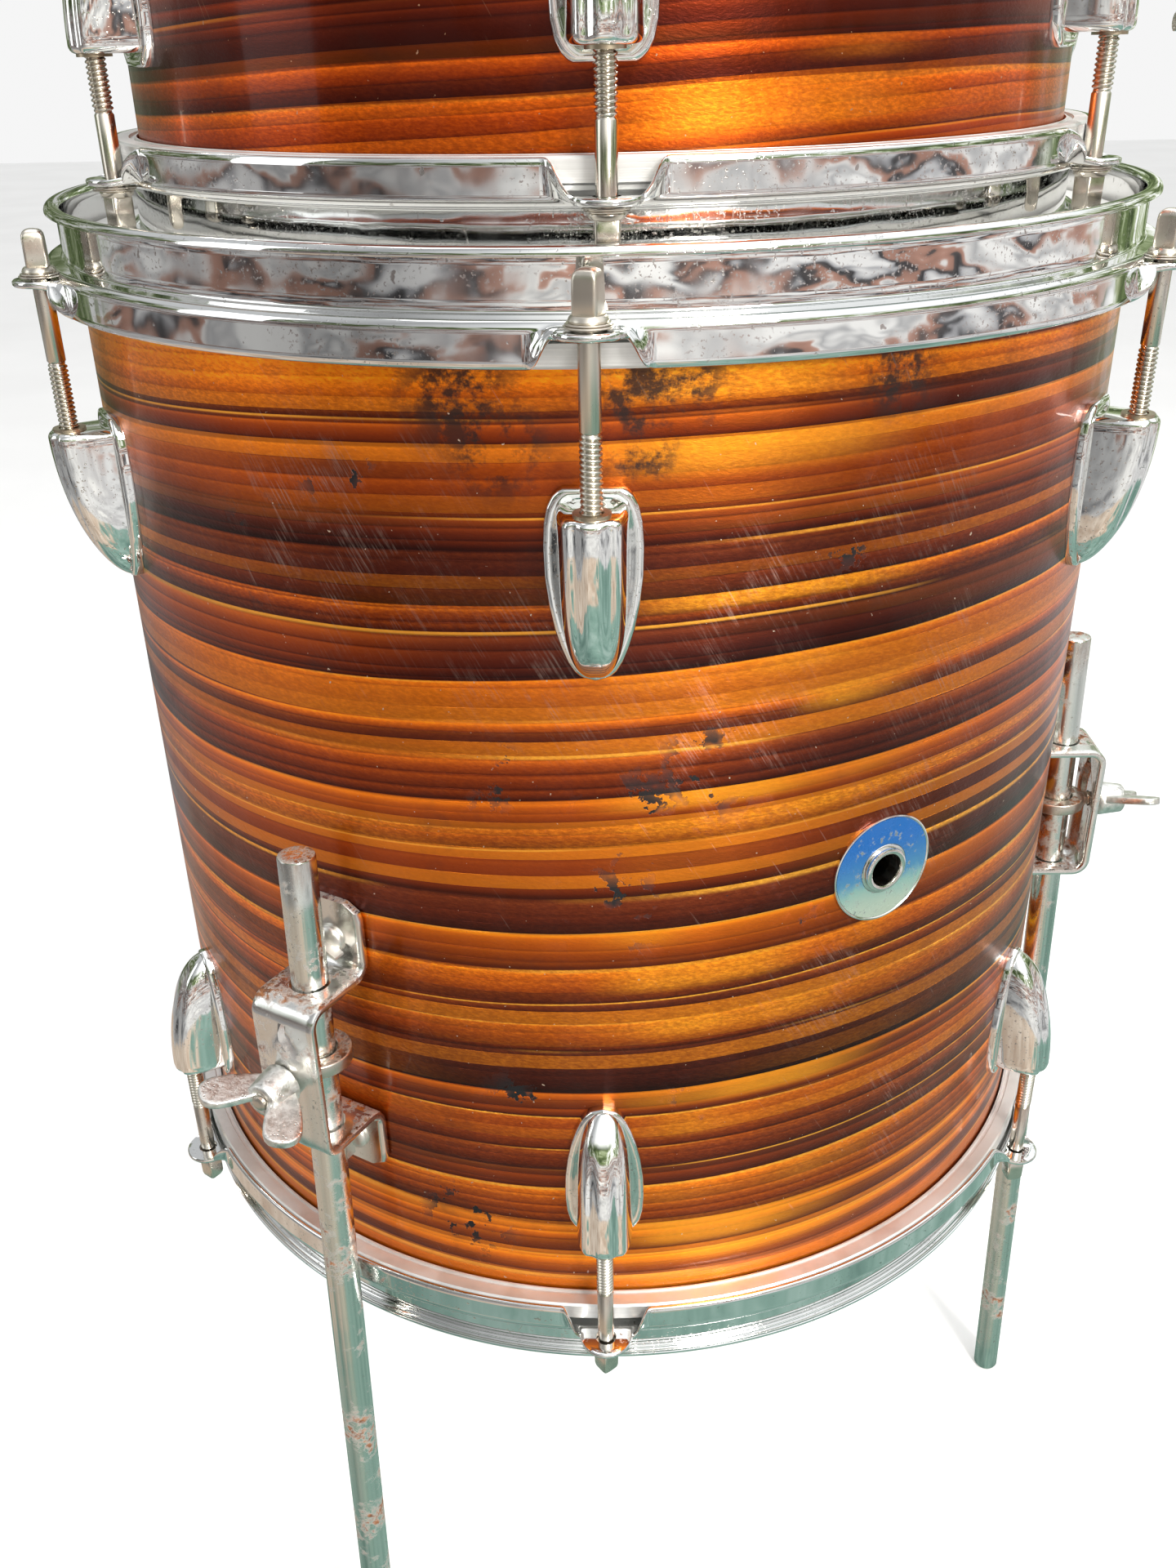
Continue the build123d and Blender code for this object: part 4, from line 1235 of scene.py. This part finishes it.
    wear_at = s.join(u, v, seed)
    blotch = s.noise(wear_at, 30, 4, 0.65)
    smoke = s.step(blotch, 0.56, 0.80, 0.0, 0.45)
    chips = s.step(s.noise(wear_at, 150, 4, 0.62), 0.735, 0.755)
    specks = s.step(s.noise(wear_at, 520, 2, 0.5), 0.735, 0.77)
    scratch_at = s.join(s.plus(s.times(u, 900.0), s.times(v, 520.0)), s.times(v, 60.0), seed)
    scratches = s.times(s.step(s.noise(scratch_at, 1.0, 2, 0.6), 0.66, 0.74),
                       s.step(s.noise(wear_at, 24, 3, 0.6), 0.50, 0.68))
    foot, head = drum.edges["resonant"], drum.edges["batter"]
    # Darker towards both ends of the covering, fading out about 20 mm from each bearing edge.
    near_edge_darkening = s.most(s.step(v, foot + 0.018, foot + 0.008), s.step(v, head - 0.020, head - 0.006))
    if marked:
        chipped = near_places(s, u, v, CHIPPED, drum.radius)
        smoky = near_places(s, u, v, SMOKY, drum.radius)
        scuffed = near_places(s, u, v, SCUFFED, drum.radius)
        more = s.step(s.noise(wear_at, 105, 4, 0.66), 0.565, 0.585)
        chips = s.most(chips, s.times(more, s.times(chipped, s.step(blotch, 0.44, 0.56))))
        soot = s.times(smoky, s.step(s.noise(wear_at, 75, 5, 0.72), 0.44, 0.58))
        smoke = s.most(smoke, s.times(soot, 0.93))
        rubbed = s.times(scuffed, s.step(s.noise(wear_at, 60, 4, 0.7), 0.42, 0.66))
        scratches = s.most(s.times(scratches, 0.6),
                           s.times(rubbed, s.step(s.noise(scratch_at, 1.4, 3, 0.7), 0.45, 0.72)))
    colour = s.mix(smoke, colour, (0.035, 0.022, 0.020))
    colour = s.mix(s.times(near_edge_darkening, 0.65), colour, (0.05, 0.025, 0.015))
    colour = s.mix(s.times(scratches, 0.5), colour, (0.42, 0.30, 0.26))
    colour = s.mix(specks, colour, (0.62, 0.48, 0.38))
    colour = s.mix(chips, colour, (0.006, 0.007, 0.008))
    s.put("Base Color", s.tint(colour, tone))
    s.put("Metallic", s.between(chips, 0.80, 0.0))
    gloss = s.plus(s.times(scratches, 0.25), s.step(blotch, 0.4, 0.8, 0.0, 0.12))
    s.put("Roughness", s.between(chips, s.plus(0.34, gloss), 0.75))
    s.put("Anisotropic", 0.75)
    s.put("Anisotropic Rotation", 0.25)
    s.put("Tangent", s.node("ShaderNodeTangent", direction_type="RADIAL", axis="Z").outputs["Tangent"])
    s.put("Coat Weight", s.between(chips, 0.22, 0.05))
    s.put("Specular IOR Level", 0.25)
    s.put("Coat Roughness", s.plus(0.06, s.times(gloss, 0.9)))
    inner = s.bump(relief, 0.0010, 0.55)
    dents = s.minus(s.noise(wear_at, 9), s.times(chips, 0.5))
    s.put("Normal", s.bump(dents, 0.0004, 0.5, inner))
    s.put("Coat Normal", s.bump(dents, 0.0006, 0.6))
    return s.material


def plain_ply(name):
    """Bare ply: long grain round the shell and fine pores."""
    s = Surface(name)
    at = s.place()
    x, y, z = s.split(at)
    turn = s.math("ARCTAN2", x, y)
    grain_at = s.join(s.times(turn, 1.2), s.times(z, 160.0))
    grain = s.noise(grain_at, 1.0, 5, 0.65, 0.4)
    pores = s.noise(s.join(s.times(turn, 40.0), s.times(z, 1600.0)), 1.0, 2, 0.6)
    tone = s.ramp(grain, [(0.3, (0.34, 0.20, 0.10)), (0.55, (0.52, 0.34, 0.18)), (0.75, (0.64, 0.46, 0.28))])
    s.put("Base Color", s.mix(s.step(pores, 0.58, 0.72, 0.0, 0.6), tone, (0.20, 0.10, 0.05)))
    s.put("Roughness", s.step(grain, 0.3, 0.7, 0.45, 0.62))
    s.put("Normal", s.bump(pores, 0.0001, 0.5))
    return s.material


def plain_brass(name):
    s = Surface(name)
    at = s.place()
    tarnish = s.noise(at, 90, 4, 0.65)
    s.put("Base Color", s.ramp(tarnish, [(0.3, (0.30, 0.24, 0.16)), (0.7, (0.62, 0.54, 0.42))]))
    s.put("Metallic", 1.0)
    s.put("Roughness", s.step(tarnish, 0.3, 0.7, 0.42, 0.25))
    return s.material


def badge_enamel(name, centre_z):
    """Blue enamel that fades to teal and bare grey-green at the foot, with fine wear."""
    s = Surface(name)
    at = s.place()
    _, _, z = s.split(at)
    cloud = s.noise(at, 140, 4, 0.65)
    height = s.plus(s.minus(z, centre_z), s.times(s.minus(cloud, 0.5), 0.008))
    share = s.step(height, -0.017, 0.012)
    tone = s.ramp(share, [(0.0, (0.30, 0.36, 0.29)), (0.28, (0.17, 0.30, 0.27)), (0.46, (0.05, 0.17, 0.30)),
                          (1.0, (0.008, 0.095, 0.33))])
    worn = s.step(s.noise(at, 320, 4, 0.7), 0.57, 0.67)
    s.put("Base Color", s.mix(s.times(worn, 0.7), tone, (0.60, 0.62, 0.60)))
    s.put("Metallic", s.between(worn, 0.25, 0.9))
    s.put("Roughness", s.step(cloud, 0.3, 0.7, 0.18, 0.34))
    s.put("Coat Weight", 0.5)
    s.put("Coat Roughness", 0.08)
    s.put("Normal", s.bump(cloud, 0.0002, 0.5))
    return s.material


def pale_floor(name):
    s = Surface(name)
    at = s.place()
    cloud = s.noise(at, 3, 3, 0.5)
    s.put("Base Color", s.ramp(cloud, [(0.3, (0.86, 0.86, 0.855)), (0.7, (0.90, 0.90, 0.895))]))
    s.put("Roughness", s.step(s.noise(at, 240, 2), 0.3, 0.7, 0.75, 0.9))
    return s.material


# ---------------------------------------------------------------------------- build everything
chrome = plated("hoop_chrome", (0.84, 0.84, 0.83), 0.015, pits=0.85, rust=0.16, haze=0.05)
lug_chrome = plated("lug_chrome", (0.86, 0.86, 0.84), 0.02, pits=0.9, rust=0.25, haze=0.07, seed=3.0)
clamp_chrome = plated("clamp_chrome", (0.80, 0.79, 0.76), 0.13, pits=0.9, rust=1.3, haze=0.25, seed=6.0,
                      standing=0.13)
leg_steel = plated("leg_steel", (0.72, 0.74, 0.70), 0.12, pits=0.9, rust=1.4, haze=0.2, seed=9.0,
                   standing=0.2)
rod_steel = plated("rod_steel", (0.68, 0.63, 0.55), 0.16, pits=0.7, rust=0.55, haze=0.2, seed=12.0)
eye_steel = plated("eye_steel", (0.62, 0.57, 0.50), 0.26, pits=0.9, rust=1.2, haze=0.2, seed=18.0,
                   standing=0.22)
screw_steel = plated("screw_steel", (0.74, 0.72, 0.68), 0.36, pits=0.6, rust=0.7, haze=0.12, seed=21.0)
bright_trim = plated("grommet_chrome", (0.84, 0.82, 0.78), 0.08, pits=0.5, rust=0.2, seed=15.0)
zinc = cast_metal("cast_zinc")
aluminium = satin_aluminium("flesh_aluminium")
film = coated_film("head_film")
ply = plain_ply("shell_ply")
brass = plain_brass("insert_brass")
coverings = {"floor_tom": pearl_covering("floor_covering", FLOOR_TOM, 3.7, (1.0, 0.98, 0.95), True),
             "small_tom": pearl_covering("small_covering", SMALL_TOM, 63.1, (0.80, 0.56, 0.40), False)}
badge_centre = sum((corner.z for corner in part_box(VENTS["floor_tom"])), 0.0) / 2

for drum in DRUMS:
    build_wrap(drum, coverings[drum.name])
    build_lugs(drum, lug_chrome)
    for side in SIDES:
        build_hoop(drum, side, chrome)
        build_head(drum, side, film, aluminium)
        build_rods(drum, side, rod_steel)
    build_grommet(drum, BADGE_LIFT if drum is FLOOR_TOM else 0.0, bright_trim)
build_badge(bright_trim, badge_enamel("badge_enamel", badge_centre))
build_holder(lug_chrome, zinc)
WING_TURNS = {"left": -0.17, "right": -0.4, "rear": 0.9}
for leg in LEGS:
    build_leg(leg, leg_steel)
    build_bracket(leg, clamp_chrome)
    build_bracket_screws(leg, screw_steel)
    build_eye_bolt(leg, eye_steel)
    build_wing_nut(leg, WING_TURNS[leg.name], zinc)

CAD_LOOKS = {"shell": (ply, "ply"), "reinforcing_rings": (ply, "ply"), "lug_inserts": (brass, "brass"),
             "screws": (rod_steel, "plated_steel")}
for drum in DRUMS:
    for part, (material, slot_name) in CAD_LOOKS.items():
        node = frame["nodes"][f"{drum.name}_{part}"]
        node.data.materials.clear()
        node.data.materials.append(material)

# ---------------------------------------------------------------------------- camera
CAMERA_AT = Vector((0.0, -0.53458, 0.64870))
CAMERA_YAW = -0.0185        # radians: turned a little to the left, tipped down, and rolled
CAMERA_DOWN = 0.4973
CAMERA_ROLL = -0.0220
LENS = 32.285               # for a 36 mm long side
SHIFT = (0.0021, 0.0073)


def make_camera():
    data = bpy.data.cameras.new("camera")
    data.lens = LENS
    data.sensor_width = 36.0
    data.shift_x, data.shift_y = SHIFT
    data.clip_start = 0.02
    data.clip_end = 40.0
    level = Vector((math.cos(CAMERA_YAW), -math.sin(CAMERA_YAW), 0))
    down = math.cos(CAMERA_DOWN)
    forward = Vector((math.sin(CAMERA_YAW) * down, math.cos(CAMERA_YAW) * down, -math.sin(CAMERA_DOWN)))
    upward = level.cross(forward)
    right = level * math.cos(CAMERA_ROLL) + upward * math.sin(CAMERA_ROLL)
    up = -level * math.sin(CAMERA_ROLL) + upward * math.cos(CAMERA_ROLL)
    camera = add_object("camera", data)
    turn = Matrix((right, up, -forward)).transposed().to_4x4()
    camera.matrix_world = Matrix.Translation(CAMERA_AT) @ turn
    bpy.context.scene.camera = camera


# ---------------------------------------------------------------------------- stage, lights, world


def make_stage():
    mesh = bpy.data.meshes.new("floor")
    half = 9.0
    corners = [(-half, -half, 0), (half, -half, 0), (half, half, 0), (-half, half, 0)]
    mesh.from_pydata(corners, [], [(0, 1, 2, 3)])
    floor = add_object("floor", mesh)
    mesh.materials.append(pale_floor("floor"))
    floor.visible_glossy = False


def area_light(name, at, aim, size, power, colour=(1, 1, 1)):
    data = bpy.data.lights.new(name, "AREA")
    data.shape = "RECTANGLE"
    data.size, data.size_y = size
    data.energy = power
    data.color = colour
    light = add_object(name, data)
    light.location = at
    light.rotation_euler = (Vector(aim) - Vector(at)).to_track_quat("-Z", "Y").to_euler()


def make_world():
    """Even pale light, and a garden-like surround that only mirror rays see."""
    world = bpy.data.worlds.new("world")
    bpy.context.scene.world = world
    world.use_nodes = True
    w = Nodes(world.node_tree)
    w.tree.nodes.clear()
    x, y, z = w.split(w.node("ShaderNodeTexCoord").outputs["Generated"])
    turn = w.math("ARCTAN2", x, w.times(y, -1.0))
    round_at = w.join(x, y, z)
    wobble = w.minus(w.noise(round_at, 2.4, 3, 0.6), 0.5)
    height = w.plus(z, w.times(wobble, 0.16))

    lawn = w.ramp(w.noise(round_at, 5.0, 4, 0.65), [
        (0.35, (0.17, 0.29, 0.25)), (0.5, (0.27, 0.43, 0.37)), (0.65, (0.42, 0.58, 0.52))])
    path = w.ramp(w.noise(round_at, 9.0, 4, 0.6), [
        (0.35, (0.62, 0.47, 0.36)), (0.65, (0.98, 0.84, 0.70))])
    side = w.plus(turn, w.times(wobble, 2.4))
    on_path = w.times(w.step(side, 0.30, 0.15), w.step(height, -0.72, -0.705))
    ground = w.mix(on_path, lawn, path)
    kerb_at = w.join(w.times(turn, 1.6), w.times(z, 9.0), 1.0)
    kerb = w.ramp(w.noise(kerb_at, 1.0, 4, 0.65), [
        (0.34, (0.14, 0.14, 0.15)), (0.42, (0.50, 0.50, 0.51)), (0.52, (0.88, 0.88, 0.88)),
        (0.60, (0.60, 0.59, 0.60)), (0.68, (1.0, 0.99, 0.97))])
    house_at = w.join(w.times(turn, 2.1), w.times(z, 26.0), 4.0)
    house = w.ramp(w.noise(house_at, 1.0, 3, 0.6), [
        (0.37, (1.0, 0.99, 0.98)), (0.42, (0.50, 0.50, 0.52)), (0.44, (0.06, 0.06, 0.065)),
        (0.465, (0.12, 0.11, 0.11)), (0.475, (0.42, 0.24, 0.19)), (0.515, (0.56, 0.32, 0.25)),
        (0.53, (0.95, 0.93, 0.91)), (0.58, (0.52, 0.52, 0.53)), (0.63, (1.05, 1.04, 1.02))])
    trees = w.ramp(w.noise(round_at, 6.0, 5, 0.7), [
        (0.36, (0.05, 0.07, 0.035)), (0.47, (0.16, 0.22, 0.09)), (0.53, (0.50, 0.58, 0.36)),
        (0.58, (1.1, 1.12, 1.1))])
    view = w.mix(w.step(height, -0.47, -0.455), ground, kerb)
    view = w.mix(w.step(height, -0.27, -0.255), view, house)
    far_side = w.step(w.math("ABSOLUTE", turn), 1.9, 2.15)
    view = w.mix(w.times(far_side, w.step(height, -0.30, -0.28)), view, trees)
    view = w.mix(w.step(height, 0.10, 0.13), view, trees)
    view = w.mix(w.step(height, 0.34, 0.52), view, (1.22, 1.25, 1.28))
    shaded = w.ramp(w.step(turn, -1.7, 1.0), [
        (0.0, (0.50, 0.50, 0.50)), (0.25, (0.34, 0.34, 0.34)), (0.48, (0.66, 0.66, 0.66)),
        (0.66, (1.30, 1.29, 1.25)), (1.0, (1.05, 1.05, 1.05))])
    shaded = w.mix(w.step(height, -0.50, -0.40), w.mix(0.6, shaded, (1.0, 1.0, 1.0)), shaded)
    view = w.tint(view, shaded)
    even = w.node("ShaderNodeBackground")
    even.inputs["Color"].default_value = (1.0, 1.0, 1.0, 1)
    even.inputs["Strength"].default_value = 0.92
    garden = w.node("ShaderNodeBackground")
    w.feed(garden.inputs["Color"], view)
    mixed = w.node("ShaderNodeMixShader")
    w.feed(mixed.inputs[0], w.node("ShaderNodeLightPath").outputs["Is Glossy Ray"])
    w.feed(mixed.inputs[1], even.outputs[0])
    w.feed(mixed.inputs[2], garden.outputs[0])
    w.feed(w.node("ShaderNodeOutputWorld").inputs["Surface"], mixed.outputs[0])


make_camera()
make_stage()
make_world()
area_light("key", (0.85, -1.75, 1.75), (0, 0, 0.40), (0.5, 1.5), 62, (1.0, 0.97, 0.92))
area_light("left_fill", (-1.7, -0.5, 1.1), (0, 0, 0.4), (0.7, 1.2), 4, (0.95, 0.98, 1.0))
area_light("top", (0, 0.5, 2.3), (0, 0, 0.5), (1.6, 1.6), 16)
bpy.context.scene.view_settings.view_transform = "Standard"
